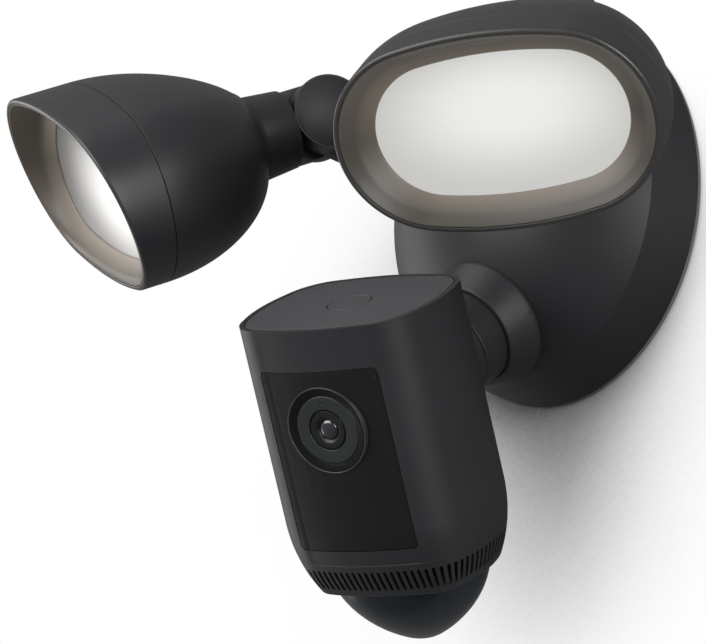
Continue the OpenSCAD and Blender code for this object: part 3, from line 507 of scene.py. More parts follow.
def glow_group():
    """Falloff from a bright spot to the rim over a UV that is one at the rim."""
    if "Window glow" in bpy.data.node_groups:
        return bpy.data.node_groups["Window glow"]
    group, put, out = new_group(
        "Window glow",
        [("UV", "NodeSocketVector", None), ("Spot", "NodeSocketVector", (0.0, 0.0, 0.0)),
         ("Inner", "NodeSocketFloat", 0.2), ("Outer", "NodeSocketFloat", 1.25)],
        [("Glow", "NodeSocketFloat")])
    away = add_node(group, "ShaderNodeVectorMath", operation="DISTANCE")
    fall = add_node(group, "ShaderNodeMapRange", {"To Min": 1.0, "To Max": 0.0},
                    interpolation_type="SMOOTHSTEP")
    wire(group, (put, "UV", away, 0), (put, "Spot", away, 1), (away, "Value", fall, "Value"),
         (put, "Inner", fall, "From Min"), (put, "Outer", fall, "From Max"),
         (fall, "Result", out, "Glow"))
    return group


def lit_window(side):
    """Frosted diffuser, lit from behind and brightest at a soft spot; its falloff from the spot is partly
    painted shade, most of all on the left window.
    """
    name = f"frosted_window_{side}"
    if name in bpy.data.materials:
        return bpy.data.materials[name]
    material = surface(name, settings().finish.window, 0.42, contrast=0.02, grain=900, depth=1e-5)
    tree = material.node_tree
    shader = tree.nodes["Principled BSDF"]
    set_inputs(shader, {"Emission Strength": 1.0})
    place = add_node(tree, "ShaderNodeUVMap", uv_map="window")
    glow = add_node(tree, "ShaderNodeGroup", {"Spot": WINDOW_SPOT[side]}, node_tree=glow_group())
    # Painted shade: the dim end of the glow, near black on the left window.
    dim, bright = WINDOW_GLOW_AND_PAINTED_SHADE[side]
    light = add_node(tree, "ShaderNodeMix", {"A": (*dim, 1), "B": (*bright, 1)}, data_type="RGBA")
    wire(tree, (place, "UV", glow, "UV"), (glow, "Glow", light, "Factor"),
         (light, "Result", shader, "Emission Color"))
    return material


def liner_painted_glow(side):
    """Satin taupe with painted light: it turns paler towards the lit window and at the top (painted glow),
    and the left lamp's liner is painted lighter all over than the right's.
    """
    name = f"taupe_liner_{side}"
    if name in bpy.data.materials:
        return bpy.data.materials[name]
    # Painted light: the left liner's taupe is painted 2.3 times as light and its glow 1.7 times, a lit copy
    # of the right's.
    base, k = (2.3, 1.7) if side == "left" else (1.0, 1.0)
    material = surface(name, shade(settings().finish.taupe, base)[:3], 0.42, grain=1500, depth=2e-5)
    tree = material.node_tree
    shader = tree.nodes["Principled BSDF"]
    plain = shader.inputs["Base Color"].links[0].from_node
    # Painted glow: the taupe turns paler where the liner's glow mask is high.
    near = add_node(tree, "ShaderNodeAttribute", attribute_name="near_window")
    paler = add_node(tree, "ShaderNodeMix", {"B": shade((0.30, 0.256, 0.208), k)}, data_type="RGBA")
    wire(tree, (near, "Fac", paler, "Factor"), (plain, "Result", paler, "A"),
         (paler, "Result", shader, "Base Color"))
    return material


FINISHES = {
    "powder_coat": dict(rgb="charcoal", rough=0.46, grain=1700, depth=3e-5),
    # Painted highlight: the visor lip is painted over twice as light as the housing; its lower roughness is
    # its smoother real finish.
    "lip_satin": dict(rgb=(0.04, 0.0395, 0.038), rough=0.27, spread=0.04, grain=1700, depth=1e-5),
    "moulded_shell": dict(rgb="charcoal", rough=0.5, grain=1500, depth=3e-5),
    "lid_satin": dict(rgb="lid", rough=0.52, grain=1900, depth=2e-5),
    "panel_black": dict(rgb="panel", rough=0.3, spread=0.04, grain=2400, depth=1e-5),
    "sensor_film": dict(rgb="sensor", rough=0.27, spread=0.04, grain=1200, depth=1e-5, coat=0.1),
    # Painted shade: the slot walls are painted near black for the shade inside the slots.
    "slot_black": dict(rgb=(0.004, 0.004, 0.004), rough=0.8, depth=0.0),
    # Black of the lens barrel; also painted shade in the panel's holes.
    "lens_black": dict(rgb=(0.006, 0.006, 0.007), rough=0.4, depth=0.0),
    "lens_rim": dict(rgb=(0.03, 0.031, 0.03), rough=0.34, grain=1500, depth=1e-5),
    "lens_gloss": dict(rgb=(0.004, 0.004, 0.004), rough=0.34, spread=0.03, depth=0.0, specular=0.3),
    "lens_cover": dict(rgb=(0.021, 0.026, 0.024), rough=0.26, spread=0.03, contrast=0.05, grain=60,
                       depth=0.0, coat=0.2),
    "lens_element": dict(rgb=(0.014, 0.015, 0.019), rough=0.08, spread=0.02, contrast=0.05, grain=60,
                         depth=0.0, specular=1.0, coat=1.0),
    "lens_dot": dict(rgb=(0.012, 0.014, 0.013), rough=0.2, spread=0.03, depth=0.0),
    "acetal": dict(rgb=(0.05, 0.05, 0.05), rough=0.35, depth=1e-5),
    "zinc": dict(rgb=(0.55, 0.56, 0.57), rough=0.36, metallic=1.0, grain=220, lines=(1.0, 1.0, 14.0),
                 depth=1e-5),
    "black_zinc": dict(rgb=(0.03, 0.031, 0.033), rough=0.42, metallic=0.6, grain=220,
                       lines=(1.0, 1.0, 14.0), depth=1e-5),
    "brass": dict(rgb=(0.72, 0.5, 0.2), rough=0.3, metallic=1.0, grain=400, lines=(1.0, 20.0, 1.0),
                  depth=1e-5),
    "cast_aluminium": dict(rgb=(0.6, 0.61, 0.62), rough=0.45, metallic=1.0, grain=900, depth=3e-5),
    "solder_mask": dict(rgb=(0.02, 0.13, 0.06), rough=0.3, grain=500, depth=1e-5),
    "component": dict(rgb=(0.06, 0.06, 0.065), rough=0.5, depth=2e-5),
    "nylon": dict(rgb=(0.72, 0.72, 0.68), rough=0.45, depth=1e-5),
    "rubber": dict(rgb=(0.018, 0.018, 0.018), rough=0.75, depth=3e-5),
    "foam": dict(rgb=(0.05, 0.05, 0.05), rough=0.9, grain=700, depth=15e-5),
}


def finish(kind):
    """Finish of the object by its plain name; a colour given by name is one of the settings."""
    values = dict(FINISHES[kind])
    rgb = values.pop("rgb")
    if isinstance(rgb, str):
        rgb = getattr(settings().finish, rgb)
    return surface(kind, rgb, **values)


def paint(node, kind):
    """Gives a shown CAD node its finish."""
    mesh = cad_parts[node].data
    mesh.materials.clear()
    mesh.materials.append(finish(kind))


# Operators


class FLOODLIGHT_OT_canopy(bpy.types.Operator):
    """Round the canopy, its collar, the arm rings and the fixed neck"""
    bl_idname = "floodlight.canopy"
    bl_label = "Canopy"

    def execute(self, context):
        edge = settings().canopy.edge
        for node in ("canopy_ring", "canopy_dome", "camera_collar", "arm_ring_left", "arm_ring_right",
                     "camera_neck"):
            piece = softened(node, f"{node}_moulding", edge)
            finish_piece(piece, "base", finish("moulded_shell"), "housing", [node])
        return {"FINISHED"}


class FLOODLIGHT_OT_arms(bpy.types.Operator):
    """Round the arms and the knuckle cheeks"""
    bl_idname = "floodlight.arms"
    bl_label = "Arms"

    def crown(self, node, side):
        """Shallow crown on the flat outer end of a knuckle cheek."""
        p = settings().lamp
        knuckle = dome_centre() + p.knuckle * aim(SIDES[side] * p.arm_az, p.arm_el)
        ways = {}
        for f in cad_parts[node].data.polygons:
            ways.setdefault(tuple(round(c, 2) for c in f.normal), []).append(f)
        least = 2.4 * p.cheek_r ** 2
        flats = [group[0] for group in ways.values() if sum(f.area for f in group) > least]
        face = min(flats, key=lambda f: abs((f.center - knuckle).dot(f.normal) - p.cheek_w))
        out = (face.center - knuckle).dot(face.normal) * face.normal
        place = Matrix.Translation(knuckle + out) @ face.normal.to_track_quat("Z", "Y").to_matrix().to_4x4()
        r, rise, edge, steps = p.cheek_r, p.cheek_crown, 0.5 * MM, 14
        corners = [(AXIS_R, -edge, 0), (r - edge, -edge, 0), (r - edge, 0, 0)]
        corners += [((r - edge) * math.cos(t), rise * math.sin(t) ** 2, 0)
                    for t in (math.pi / 2 * k / steps for k in range(1, steps))]
        corners.append((AXIS_R, rise, 0))
        return lathe(f"{node}_crown", corners, place)

    def execute(self, context):
        for side in SIDES:
            for kind in ("arm", "clevis"):
                node = f"{kind}_{side}"
                piece = softened(node, f"{node}_casting", 0.5 * MM)
                finish_piece(piece, node, finish("powder_coat"), "painted_alloy", [node])
                finish_piece(self.crown(node, side), node, finish("powder_coat"), "painted_alloy")
        return {"FINISHED"}


class FLOODLIGHT_OT_lamp_heads(bpy.types.Operator):
    """Loft the bells, visors, liners and windows of the lamp heads"""
    bl_idname = "floodlight.lamp_heads"
    bl_label = "Lamp heads"

    def outline(self, inset):
        """Outline of a lamp head, drawn in by an inset."""
        p = settings().lamp
        return oval(p.head_a - inset, p.head_b - inset, p.end_r - inset)

    def window(self, grow):
        """Outline of the lit window, grown by a margin."""
        p = settings().lamp
        return oval(p.window_a + grow, p.window_b + grow, p.window_r + grow)

    def bell_ring(self, depth, inset, length, tip):
        """Bell section at a depth behind the seam: the oval rounds off towards the neck."""
        p = settings().lamp
        fullness = max(0.0, 1 - (depth / length) ** 2) ** 0.714
        a = tip + (p.head_a - inset - tip) * fullness
        b = tip + (p.head_b - inset - tip) * fullness
        if inset == 0:
            start = p.bell_l + FILLET_LAND * p.fillet - depth
            if 0 <= start <= p.fillet:
                root = p.neck_root_r + p.fillet - math.sqrt(p.fillet ** 2 - start ** 2)
                a, b = max(a, root), max(b, root)
        blunt = (p.head_b - p.end_r) / (p.head_a - p.head_b)
        r = b - blunt * (a - b)
        if a - b < 1e-6:
            return self.circle(b, depth)
        return level(oval(a, b, r), -depth)

    def groove(self, way):
        """Half of the narrow groove at the seam, from its floor to the outer edge."""
        return [level(self.outline(inset * MM), way * z * MM)
                for inset, z in ((1.0, 0.01), (0.9, 0.12), (0.1, 0.12))]

    def circle(self, r, depth):
        """Round section at a depth behind the seam."""
        return [(r * c, r * s, -depth) for c, s in turns(OVAL_POINTS)]

    def bell(self, side):
        """Rear housing: outer wall from the seam to the neck's end, and back along the bore."""
        p = settings().lamp
        circle, rounds, inner_rounds = self.circle, 34, 12
        land, room = FILLET_LAND * p.fillet, p.bell_l - p.wall
        rings = self.groove(-1)
        rings += [self.bell_ring(max(SEAM_EDGE, p.bell_l * math.sin(math.pi / 2 * i / rounds)), 0,
                                 p.bell_l, p.neck_root_r) for i in range(rounds)]
        rings += [self.bell_ring(p.bell_l + land * k / 5, 0, p.bell_l, p.neck_root_r) for k in range(5)]
        rings.append(circle(p.neck_root_r, p.bell_l + land))
        rings += [circle(p.neck_tip_r - inset * MM, p.neck_tip - drop * MM)
                  for inset, drop in ((0, 0.5), (0.15, 0.15), (0.5, 0))]
        rings += [circle(p.bore_r, p.neck_tip), circle(p.bore_r, room)]
        rings += [self.bell_ring(room * math.sin(math.pi / 2 * i / inner_rounds), p.wall, room,
                                 p.bore_r + 0.4 * MM) for i in range(inner_rounds - 1, -1, -1)]
        return loft(f"bell_{side}_shell", rings, lamp_place(side))

    def mouth(self, side, y, drop):
        """Height of the visor's slanted mouth at y, less a drop in millimetres."""
        p = settings().lamp
        reach, slope = getattr(p, f"{side}_visor_l"), getattr(p, f"{side}_slope")
        return reach + slope * y - drop * MM

    def rise(self, side, inset, drop):
        """Outline raised to the visor's mouth, less a drop in millimetres."""
        return [(x, y, self.mouth(side, y, drop)) for x, y in self.outline(inset)]

    def visor(self, side):
        """Hood with a slanted mouth and a thin rounded lip."""
        p = settings().lamp
        lip, edge = 1.2, 0.3
        rings = self.groove(1) + [level(self.outline(0), SEAM_EDGE)]
        for k in (0.25, 0.5, 0.75):
            rings.append([(x, y, k * self.mouth(side, y, lip)) for x, y in self.outline(0)])
        for k in range(8):
            t = math.pi / 2 * k / 7
            rings.append(self.rise(side, lip * MM * (1 - math.cos(t)), lip * (1 - math.sin(t))))
        for k in range(5):
            t = math.pi / 2 * k / 4
            rings.append(self.rise(side, p.rim - edge * MM * (1 - math.sin(t)), edge * (1 - math.cos(t))))
        rings += [self.rise(side, p.rim, 3.0), self.rise(side, p.wall, 4.0),
                  level(self.outline(p.wall), 0.02 * MM)]
        return loft(f"visor_{side}_hood", rings, lamp_place(side))

    def paint_lip_highlight(self, hood, side):
        """Gives the rounded lip of a visor its smoother finish and a painted highlight: a lighter colour than
        the housing.
        """
        hood.data.materials.append(finish("lip_satin"))
        # Faces above the mouth less 0.75 mm, the lip, get the painted highlight.
        back = lamp_place(side).inverted()
        for f in hood.data.polygons:
            at = back @ f.center
            if at.z > self.mouth(side, at.y, 0.75):
                f.material_index = 1

    def liner(self, side):
        """Liner from the visor's mouth to the window: a wall, a soft crease and a slope, with a mask of
        painted light that grows towards the window and the top.
        """
        p = settings().lamp
        gap, bead, drop = 0.04 * MM, 0.25, 0.45
        foot, ledge, lap = 0.2 * MM, 4.65 * MM, 2.15 * MM
        bend, fade = 9.0 * MM, 4.0 * MM
        inner = p.rim + gap + 2 * bead * MM

        def funnel(u, z, share):
            """Ring between mouth (u = 0) and window (u = 1); share of the mouth's slant at z."""
            mouth = (p.head_a - inner, p.head_b - inner, p.end_r - inner)
            window = (p.window_a, p.window_b, p.window_r)
            shape = (m + u * (w - m) for m, w in zip(mouth, window))
            return [(x, y, z * MM + share * (self.mouth(side, y, drop) - z * MM)) for x, y in oval(*shape)]

        rings = [level(self.outline(p.wall + gap), foot), self.rise(side, p.wall + gap, 4.1),
                 self.rise(side, p.rim + gap, 2.9)]
        for k in range(7):
            t = math.pi * k / 6
            rings.append(self.rise(side, p.rim + gap + bead * MM * (1 - math.cos(t)),
                                   drop - bead * math.sin(t)))
        slope = [(0.05, 9.0, 0.86), (0.12, 9.0, 0.66), (0.20, 8.9, 0.44), (0.28, 8.7, 0.25),
                 (0.35, 8.4, 0.11), (0.41, 8.1, 0.04), (0.47, 7.8, 0.01), (0.55, 7.35, 0),
                 (0.66, 6.75, 0), (0.78, 6.1, 0), (0.88, 5.6, 0), (0.94, 5.3, 0), (0.98, 5.1, 0),
                 (1.0, 4.85, 0), (1.0, 4.7, 0)]
        rings += [funnel(u, z, share) for u, z, share in slope]
        rings += [level(self.window(lap), ledge), level(self.window(lap), foot)]
        piece = loft(f"bezel_{side}_liner", rings, None)
        # Painted light: a mask that makes the liner paler towards the lit window, more at its top and bottom,
        # and most at its top.
        near = piece.data.attributes.new("near_window", "FLOAT", "POINT")
        for v in piece.data.vertices:
            depth = min(1.0, max(0.0, (bend - v.co.z) / fade))
            high = max(-1.0, min(1.0, v.co.y / p.window_b))
            top = max(0.0, high) * (0.5 + min(0.5, depth))
            near.data[v.index].value = depth * (0.22 + 0.33 * abs(high)) + 0.45 * top
        piece.data.transform(lamp_place(side))
        return piece

    def diffuser(self, side):
        """Frosted window with a plain edge, and a UV that runs from the centre to the rim."""
        p = settings().lamp
        front, back, count = 4.6 * MM, 3.2 * MM, 14
        edge = self.window(2.0 * MM)
        rings = [[(x * k, y * k, front) for x, y in edge] for k in (i / count for i in range(1, count + 1))]
        rings.append(level(edge, back))
        piece = loft(f"diffuser_{side}_window", rings, None, closed=False)
        mesh = piece.data
        uv = mesh.uv_layers.new(name="window")
        for corner in mesh.loops:
            v = mesh.vertices[corner.vertex_index].co
            uv.data[corner.index].uv = (v.x / p.window_a, v.y / p.window_b)
        mesh.transform(lamp_place(side))
        return piece

    def execute(self, context):
        for side in SIDES:
            body = f"head_{side}"
            finish_piece(self.bell(side), body, finish("powder_coat"), "painted_alloy", [f"bell_{side}"])
            hood = finish_piece(self.visor(side), body, finish("powder_coat"), "painted_alloy",
                                [f"visor_{side}"])
            self.paint_lip_highlight(hood, side)
            finish_piece(self.liner(side), body, liner_painted_glow(side), "bezel", [f"bezel_{side}"])
            finish_piece(self.diffuser(side), body, lit_window(side), "diffuser", [f"diffuser_{side}"])
        return {"FINISHED"}


class FLOODLIGHT_OT_camera_body(bpy.types.Operator):
    """Round the camera's shell, lid, button, saddle and ball stud"""
    bl_idname = "floodlight.camera_body"
    bl_label = "Camera body"

    def execute(self, context):
        jobs = (("camera_shell", "camera", 0.4, "moulded_shell", "housing"),
                ("camera_lid", "camera", 0.25, "lid_satin", "lid"),
                ("setup_button", "button", 0.25, "lid_satin", "lid"),
                ("camera_saddle", "camera", 0.4, "moulded_shell", "housing"),
                ("ball_stud", "swivel", 0.4, "moulded_shell", "housing"))
        for node, body, edge, kind, slot in jobs:
            piece = softened(node, f"{node}_moulding", edge * MM)
            finish_piece(piece, body, finish(kind), slot, [node])
        return {"FINISHED"}


class FLOODLIGHT_OT_camera_front(bpy.types.Operator):
    """Make the front panel and the lens group"""
    bl_idname = "floodlight.camera_front"
    bl_label = "Camera front"

    def hole_shades(self):
        """Painted shade for the microphone hole and the two small holes at the panel's upper corners: shallow
        black cups on the panel face.
        """
        p = settings().camera
        side, drop = p.panel_hw - 1.3 * MM, p.panel_top + 3 * MM
        turn = Matrix.Rotation(math.pi / 2, 4, "X")
        pieces = []
        for x, r in ((-side, 0.7), (0, 0.4), (side, 0.7)):
            front = max(-y for u, y in body_outline(0.15 * MM, n=960) if abs(abs(u) - abs(x)) < 0.2 * MM)
            place = camera_place() @ Matrix.Translation((x, 0, -drop)) @ turn
            corners = [(0.02, -0.6, 0), (r, -0.6, 0), (r, 0.05, 0.03), (0.7 * r, 0.0, 0), (0.02, -0.05, 0)]
            corners = [(u * MM, front + z * MM, soft * MM) for u, z, soft in corners]
            pieces.append(lathe("panel_hole", corners, place, segments=24))
        return pieces

    def lens(self, place):
        """Outlines in millimetres, finishes, slots and nodes of the lens pieces, from the rim inwards."""
        r = settings().camera.lens_r / MM
        rim = [(r, -5.2, 0), (r, 0.3, 0.2), (r - 0.5, 0.3, 0.22), (r - 0.5, -5.2, 0)]
        band = [(r - 0.53, -5.2, 0), (r - 0.53, 0.02, 0.1), (r - 3.0, -0.5, 0.1), (r - 3.1, -5.2, 0)]
        glass = [(11.15, -1.5, 0), (11.15, -0.5, 0.15), (10.7, -0.38, 0.1), (6.75, -0.38, 0.15),
                 (6.75, -1.5, 0)]
        barrel = [(0.05, -24, 0), (7.8, -24, 0), (7.8, -1.65, 0), (6.2, -1.65, 0), (6.2, -0.5, 0.15),
                  (4.3, -0.62, 0.1), (3.6, -1.1, 0.1), (3.3, -1.5, 0), (0.05, -1.5, 0)]
        dome = [(0.02, -1.45, 0), (3.15, -1.45, 0)]
        dome += [(3.15 * math.cos(t), -1.45 + 1.1 * math.sin(t), 0)
                 for t in (k * math.pi / 22 for k in range(1, 11))]
        dome.append((0.02, -0.34, 0))
        dot = [(0.02, -0.6, 0), (0.8, -0.6, 0), (0.8, -0.3, 0.1), (0.55, -0.3, 0.05), (0.45, -0.36, 0),
               (0.02, -0.33, 0)]
        over = place @ Matrix.Translation((0, 9.1 * MM, 0))
        return (("lens_bezel_band", band, "lens_gloss", "lens_ring", ["lens_bezel"], place),
                ("lens_bezel_rim", rim, "lens_rim", "lens_ring", [], place),
                ("lens_glass_cover", glass, "lens_cover", "glass", ["lens_glass"], place),
                ("lens_barrel_rings", barrel, "lens_black", "barrel", ["lens_barrel"], place),
                ("lens_element", dome, "lens_element", "glass", [], place),
                ("infrared_window", dot, "lens_dot", "barrel", [], over))

    def execute(self, context):
        plate = softened("front_panel", "front_panel_plate", 0.2 * MM)
        finish_piece(plate, "camera", finish("panel_black"), "panel", ["front_panel"])
        # Painted shade: black cups on the panel stand for the shade in its holes.
        for hole in self.hole_shades():
            finish_piece(hole, "camera", finish("lens_black"), "panel")
        b = settings().camera.body_b
        for name, corners, kind, slot, replaced, place in self.lens(lens_place()):
            outline = [(x * MM, b + z * MM, round_ * MM) for x, z, round_ in corners]
            piece = lathe(name, outline, place, segments=160)
            finish_piece(piece, "camera", finish(kind), slot, replaced)
        return {"FINISHED"}


class FLOODLIGHT_OT_camera_foot(bpy.types.Operator):
    """Make the slotted grille ring and the sensor dome"""
    bl_idname = "floodlight.camera_foot"
    bl_label = "Camera foot"

    def ring_mesh(self):
        """Ring drawn in towards its lip, before the slots are cut."""
        p = settings().camera
        h, inset, whole, steps = p.grille_h, p.lip_inset, p.grille_h + p.draw_h, 16
        flank = (inset * inset + whole * whole) / (2 * inset)

        def section(z, extra=0.0):
            depth = p.draw_h - z
            return level(body_outline(flank - math.sqrt(flank ** 2 - depth ** 2) + extra), z)

        rings = [section(-0.1 * MM, 0.12 * MM)]
        rings += [section(-h * k / steps if k else -SEAM_EDGE) for k in range(steps)]
        rings += [section(-h + 0.35 * MM), section(-h + 0.1 * MM, 0.15 * MM), section(-h, 0.45 * MM)]
        room, end_r = 0.15 * MM, 19.05 * MM
        hole = oval(p.pir_a + room, p.pir_b + room, end_r, n=BODY_POINTS)
        rings += [level(hole, -h), level(hole, -0.1 * MM)]
        return loft("grille_ring_slotted", rings, None)

    def cutter(self):
        """Slot with round ends, x outwards and z up."""
        p = settings().camera
        half, r = p.slot_h / 2 - p.slot_w / 2, p.slot_w / 2
        outline = []
        for start, middle in ((0.0, half), (math.pi, -half)):
            outline += [(r * math.cos(t), middle + r * math.sin(t))
                        for t in (start + math.pi * k / 6 for k in range(7))]
        rings = [[(x, y, z) for y, z in outline] for x in (-2.4 * MM, 6 * MM)]
        return loft("slot_cutter", rings, None, closed=False)

    def slot_tree(self, ring_material, slot_shade_material):
        """Cuts copies of a slot, evenly spaced on a path, out of a mesh and gives both finishes: the ring's
        own, and near-black painted shade on the slot walls.
        """
        tree, put, out = new_group(
            "Grille slots",
            [("Geometry", "NodeSocketGeometry", None), ("Slot", "NodeSocketObject", None),
             ("Path", "NodeSocketObject", None), ("Count", "NodeSocketInt", None)],
            [("Geometry", "NodeSocketGeometry")], "GeometryNodeTree")
        slot_info = add_node(tree, "GeometryNodeObjectInfo")
        path_info = add_node(tree, "GeometryNodeObjectInfo")
        curve = add_node(tree, "GeometryNodeMeshToCurve")
        spaced = add_node(tree, "GeometryNodeResampleCurve")
        tangent = add_node(tree, "GeometryNodeInputTangent")
        turn = add_node(tree, "FunctionNodeAlignRotationToVector", axis="Y", pivot_axis="Z")
        mark = add_node(tree, "GeometryNodeStoreNamedAttribute", {"Name": "slot_wall", "Value": True},
                        data_type="BOOLEAN", domain="FACE")
        copies = add_node(tree, "GeometryNodeInstanceOnPoints")
        solid = add_node(tree, "GeometryNodeRealizeInstances")
        cut = add_node(tree, "GeometryNodeMeshBoolean", operation="DIFFERENCE", solver="EXACT")
        real = add_node(tree, "GeometryNodeRealizeInstances")
        paint_ring = add_node(tree, "GeometryNodeSetMaterial", {"Material": ring_material})
        paint_slot = add_node(tree, "GeometryNodeSetMaterial", {"Material": slot_shade_material})
        marked = add_node(tree, "GeometryNodeInputNamedAttribute", {"Name": "slot_wall"},
                          data_type="BOOLEAN")
        wire(tree, (put, "Slot", slot_info, "Object"), (put, "Path", path_info, "Object"),
             (path_info, "Geometry", curve, "Mesh"), (curve, "Curve", spaced, "Curve"),
             (put, "Count", spaced, "Count"), (tangent, "Tangent", turn, "Vector"),
             (slot_info, "Geometry", mark, "Geometry"), (spaced, "Curve", copies, "Points"),
             (mark, "Geometry", copies, "Instance"), (turn, "Rotation", copies, "Rotation"),
             (copies, "Instances", solid, "Geometry"), (put, "Geometry", cut, "Mesh 1"),
             (solid, "Geometry", cut, "Mesh 2"), (cut, "Mesh", real, "Geometry"),
             (real, "Geometry", paint_ring, "Geometry"), (paint_ring, "Geometry", paint_slot, "Geometry"),
             (marked, "Attribute", paint_slot, "Selection"), (paint_slot, "Geometry", out, "Geometry"))
        return tree

    def grille(self):
        """Grille ring with its slots cut."""
        p = settings().camera
        ring = self.ring_mesh()
        cutter = self.cutter()
        middle = -p.slot_drop - p.slot_h / 2
        outline = body_outline(p.lip_inset * 0.5)
        mesh = bpy.data.meshes.new("slot_path")
        n = len(outline)
        mesh.from_pydata(level(outline, middle), [(i, (i + 1) % n) for i in range(n)], [])
        path = link("slot_path", mesh)
        cuts = ring.modifiers.new("Slots", "NODES")
        # The slot walls get near-black painted shade.
        cuts.node_group = self.slot_tree(finish("moulded_shell"), finish("slot_black"))
        values = {"Slot": cutter, "Path": path, "Count": p.slots}
        for socket in cuts.node_group.interface.items_tree:
            if socket.name in values:
                cuts[socket.identifier] = values[socket.name]
        applied(ring).data.shade_smooth()
        ring.data.set_sharp_from_angle(angle=SHARP)
        for helper in (cutter, path):
            bpy.data.objects.remove(helper)
        ring.data.transform(foot_place())
        return ring

    def sensor_dome(self):
        """Oval ogive: a flank arc that runs into a round tip, with the flange above the lip."""
        p = settings().camera
        tip_r, flank_r, h, b = 10 * MM, 34 * MM, p.pir_h, p.pir_b
        fullness, steps = 2 / 2.1, 34
        tip = tip_r - h
        span, reach = math.hypot(b, tip), flank_r - tip_r
        bend = math.acos((reach ** 2 + span ** 2 - flank_r ** 2) / (2 * reach * span))
        turn = math.atan2(-tip, b) + bend
        cx, cy = reach * math.cos(turn), tip + reach * math.sin(turn)
        join = tip - tip_r * math.sin(turn)

        def width(d):
            if -d > join:
                return cx + math.sqrt(max(0, flank_r ** 2 - (cy + d) ** 2))
            return math.sqrt(max(0, tip_r ** 2 - (tip + d) ** 2))

        def ring(k, z):
            return [(k * p.pir_a * math.copysign(abs(c) ** fullness, c),
                     k * b * math.copysign(abs(s) ** fullness, s), z - p.grille_h) for c, s in turns(128)]

        rings = [ring(1.02, 2.4 * MM), ring(1.02, 1.45 * MM), ring(1.0, 1.4 * MM)]
        for i in range(steps):
            d = h * math.sin(math.pi / 2 * i / steps)
            rings.append(ring(width(d) / b, -d))
        rings.append(ring(0.02, -h + 0.005 * MM))
        return loft("motion_dome_lens", rings, foot_place(), closed=False)

    def execute(self, context):
        piece = self.grille()
        finish_piece(piece, "camera", None, "housing", ["grille_ring"])
        finish_piece(self.sensor_dome(), "camera", finish("sensor_film"), "sensor_dome", ["motion_dome"])
        return {"FINISHED"}


class FLOODLIGHT_OT_inside(bpy.types.Operator):
    """Finish the pieces behind the canopy, in the lamps and in the camera"""
    bl_idname = "floodlight.inside"
    bl_label = "Inside"

    def execute(self, context):
        kinds = {
            "foam": ["wall_gasket"],
            "zinc": ["wall_bracket", "box_screws", "cable_bush", "button_switch",
                     "motion_sensor"] + [f"{k}_{s}" for k in ("arm_nut", "hinge_pin") for s in SIDES],
            "black_zinc": ["canopy_screws"],
            "rubber": ["wire_grommet"] + [f"diffuser_seal_{s}" for s in SIDES],
            "brass": ["driver_standoffs"],
            "solder_mask": ["driver_board", "main_board"] + [f"led_board_{s}" for s in SIDES],
            "component": ["driver_parts", "speaker", "infrared_emitter"],
            "nylon": ["terminal_block"],
            "cast_aluminium": [f"heat_sink_{s}" for s in SIDES],
            "acetal": ["ball_liner"],
        }
        for kind, nodes in kinds.items():
            for node in nodes:
                paint(node, kind)
        return {"FINISHED"}


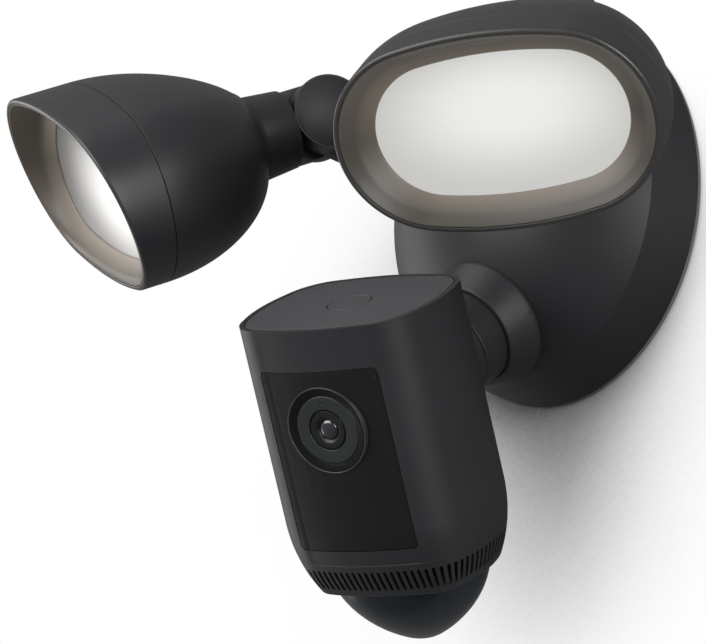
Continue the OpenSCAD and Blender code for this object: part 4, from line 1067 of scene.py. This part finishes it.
class FLOODLIGHT_OT_stage(bpy.types.Operator):
    """Set the wall, the lights and the view"""
    bl_idname = "floodlight.stage"
    bl_label = "Stage"

    def sheet(self, name, reach, opening, y, material):
        """Square sheet on the wall with a round opening behind the canopy."""
        n = 96
        edge = [(reach * c / max(abs(c), abs(s)), y, reach * s / max(abs(c), abs(s))) for c, s in turns(n)]
        hole = [(opening * c, y, opening * s) for c, s in turns(n)]
        mesh = bpy.data.meshes.new(name)
        mesh.from_pydata(edge + hole, [], [(j, (j + 1) % n, n + (j + 1) % n, n + j) for j in range(n)])
        mesh.materials.append(material)
        link(name, mesh)

    def paper(self, name):
        """Paper that is white to the eye, with a painted soft shadow near the object, and clear from behind:
        the white is dimmed by ambient occlusion leaned towards the upper right front.
        """
        material = bpy.data.materials.new(name)
        material.use_nodes = True
        tree = material.node_tree
        shader = tree.nodes["Principled BSDF"]
        set_inputs(shader, {"Base Color": (0.22, 0.22, 0.22, 1), "Roughness": 0.9, "Specular IOR Level": 0.1})
        # Painted shadow: ambient occlusion, leaned towards the upper right front, dims the white that the eye
        # sees near the object.
        lean = add_node(tree, "ShaderNodeCombineXYZ", {"X": 0.35, "Y": -0.75, "Z": 0.55})
        near = add_node(tree, "ShaderNodeAmbientOcclusion", {"Distance": 0.2}, samples=24)
        painted_shadow = add_node(tree, "ShaderNodeMapRange",
                            {"From Min": 0.22, "From Max": 0.8, "To Min": 0.02, "To Max": 1.0},
                            interpolation_type="SMOOTHSTEP")
        white = add_node(tree, "ShaderNodeEmission")
        path = add_node(tree, "ShaderNodeLightPath")
        seen = add_node(tree, "ShaderNodeMixShader")
        side = add_node(tree, "ShaderNodeNewGeometry")
        clear = add_node(tree, "ShaderNodeBsdfTransparent")
        choose = add_node(tree, "ShaderNodeMixShader")
        wire(tree, (lean, "Vector", near, "Normal"), (near, "AO", painted_shadow, "Value"),
             (painted_shadow, "Result", white, "Strength"), (path, "Is Camera Ray", seen, "Fac"),
             (shader, "BSDF", seen, 1), (white, "Emission", seen, 2), (side, "Backfacing", choose, "Fac"),
             (seen, "Shader", choose, 1), (clear, "BSDF", choose, 2),
             (choose, "Shader", tree.nodes["Material Output"], "Surface"))
        return material

    def air(self, scene):
        """White to the eye; for the object, brighter from the upper left front and dim from below."""
        world = bpy.data.worlds.new("studio_air")
        scene.world = world
        world.use_nodes = True
        tree = world.node_tree
        seen = tree.nodes["Background"]
        set_inputs(seen, {"Color": (1, 1, 1, 1), "Strength": 1.0})
        around = add_node(tree, "ShaderNodeBackground", {"Color": (0.97, 0.98, 1.0, 1)})
        way = add_node(tree, "ShaderNodeTexCoord")
        lean = add_node(tree, "ShaderNodeVectorMath", {1: (-0.42, -0.42, 0.8)}, operation="DOT_PRODUCT")
        power = add_node(tree, "ShaderNodeMapRange",
                         {"From Min": -0.7, "From Max": 0.9, "To Min": 0.1, "To Max": 0.34})
        path = add_node(tree, "ShaderNodeLightPath")
        choose = add_node(tree, "ShaderNodeMixShader")
        wire(tree, (way, "Generated", lean, 0), (lean, "Value", power, "Value"),
             (power, "Result", around, "Strength"), (path, "Is Camera Ray", choose, "Fac"),
             (around, "Background", choose, 1), (seen, "Background", choose, 2),
             (choose, "Shader", tree.nodes["World Output"], "Surface"))

    def lamp(self, name, place, target, size, watts):
        """Area lamp that points at a target."""
        data = bpy.data.lights.new(name, "AREA")
        data.shape = "RECTANGLE"
        data.size, data.size_y = size
        data.energy = watts
        piece = bpy.data.objects.new(name, data)
        bpy.context.scene.collection.objects.link(piece)
        piece.location = place
        way = Vector(target) - Vector(place)
        piece.rotation_euler = way.to_track_quat("-Z", "Y").to_euler()

    def execute(self, context):
        scene = context.scene
        scene.view_settings.view_transform = "Standard"
        opening = settings().canopy.crease_r
        self.sheet("wall_sheet", 3.0, opening, 0.6 * MM, self.paper("wall_paper"))
        for values in LIGHTS:
            self.lamp(*values)
        self.air(scene)
        view = bpy.data.cameras.new("photo_view")
        view.sensor_fit = "HORIZONTAL"
        view.sensor_width = 36
        view.lens = view.sensor_width * FOCAL_LENGTH / PICTURE_W
        view.clip_start, view.clip_end = 0.05, 30
        eye = bpy.data.objects.new("photo_view", view)
        scene.collection.objects.link(eye)
        eye.location = EYE
        right, up = Vector(EYE_RIGHT), Vector(EYE_UP)
        back = right.cross(up)
        eye.rotation_euler = Matrix((right, up, back)).transposed().to_euler()
        scene.camera = eye
        return {"FINISHED"}


class FLOODLIGHT_PT_panel(bpy.types.Panel):
    """Lists the steps that dress the floodlight"""
    bl_label = "Floodlight"
    bl_idname = "FLOODLIGHT_PT_panel"
    bl_space_type = "VIEW_3D"
    bl_region_type = "UI"
    bl_category = "Floodlight"

    def draw(self, context):
        for step in STEPS:
            self.layout.operator(step.bl_idname)


STEPS = (FLOODLIGHT_OT_canopy, FLOODLIGHT_OT_arms, FLOODLIGHT_OT_lamp_heads, FLOODLIGHT_OT_camera_body,
         FLOODLIGHT_OT_camera_front, FLOODLIGHT_OT_camera_foot, FLOODLIGHT_OT_inside, FLOODLIGHT_OT_stage)
CLASSES = (CanopySizes, LampSizes, CameraSizes, Finishes, FloodlightSettings, *STEPS, FLOODLIGHT_PT_panel)


def register():
    for c in CLASSES:
        bpy.utils.register_class(c)
    bpy.types.Scene.floodlight = PointerProperty(type=FloodlightSettings)


def unregister():
    del bpy.types.Scene.floodlight
    for c in reversed(CLASSES):
        bpy.utils.unregister_class(c)


def main():
    """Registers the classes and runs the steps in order."""
    register()
    bpy.ops.floodlight.canopy()
    bpy.ops.floodlight.arms()
    bpy.ops.floodlight.lamp_heads()
    bpy.ops.floodlight.camera_body()
    bpy.ops.floodlight.camera_front()
    bpy.ops.floodlight.camera_foot()
    bpy.ops.floodlight.inside()
    bpy.ops.floodlight.stage()


if __name__ == "__main__":
    main()
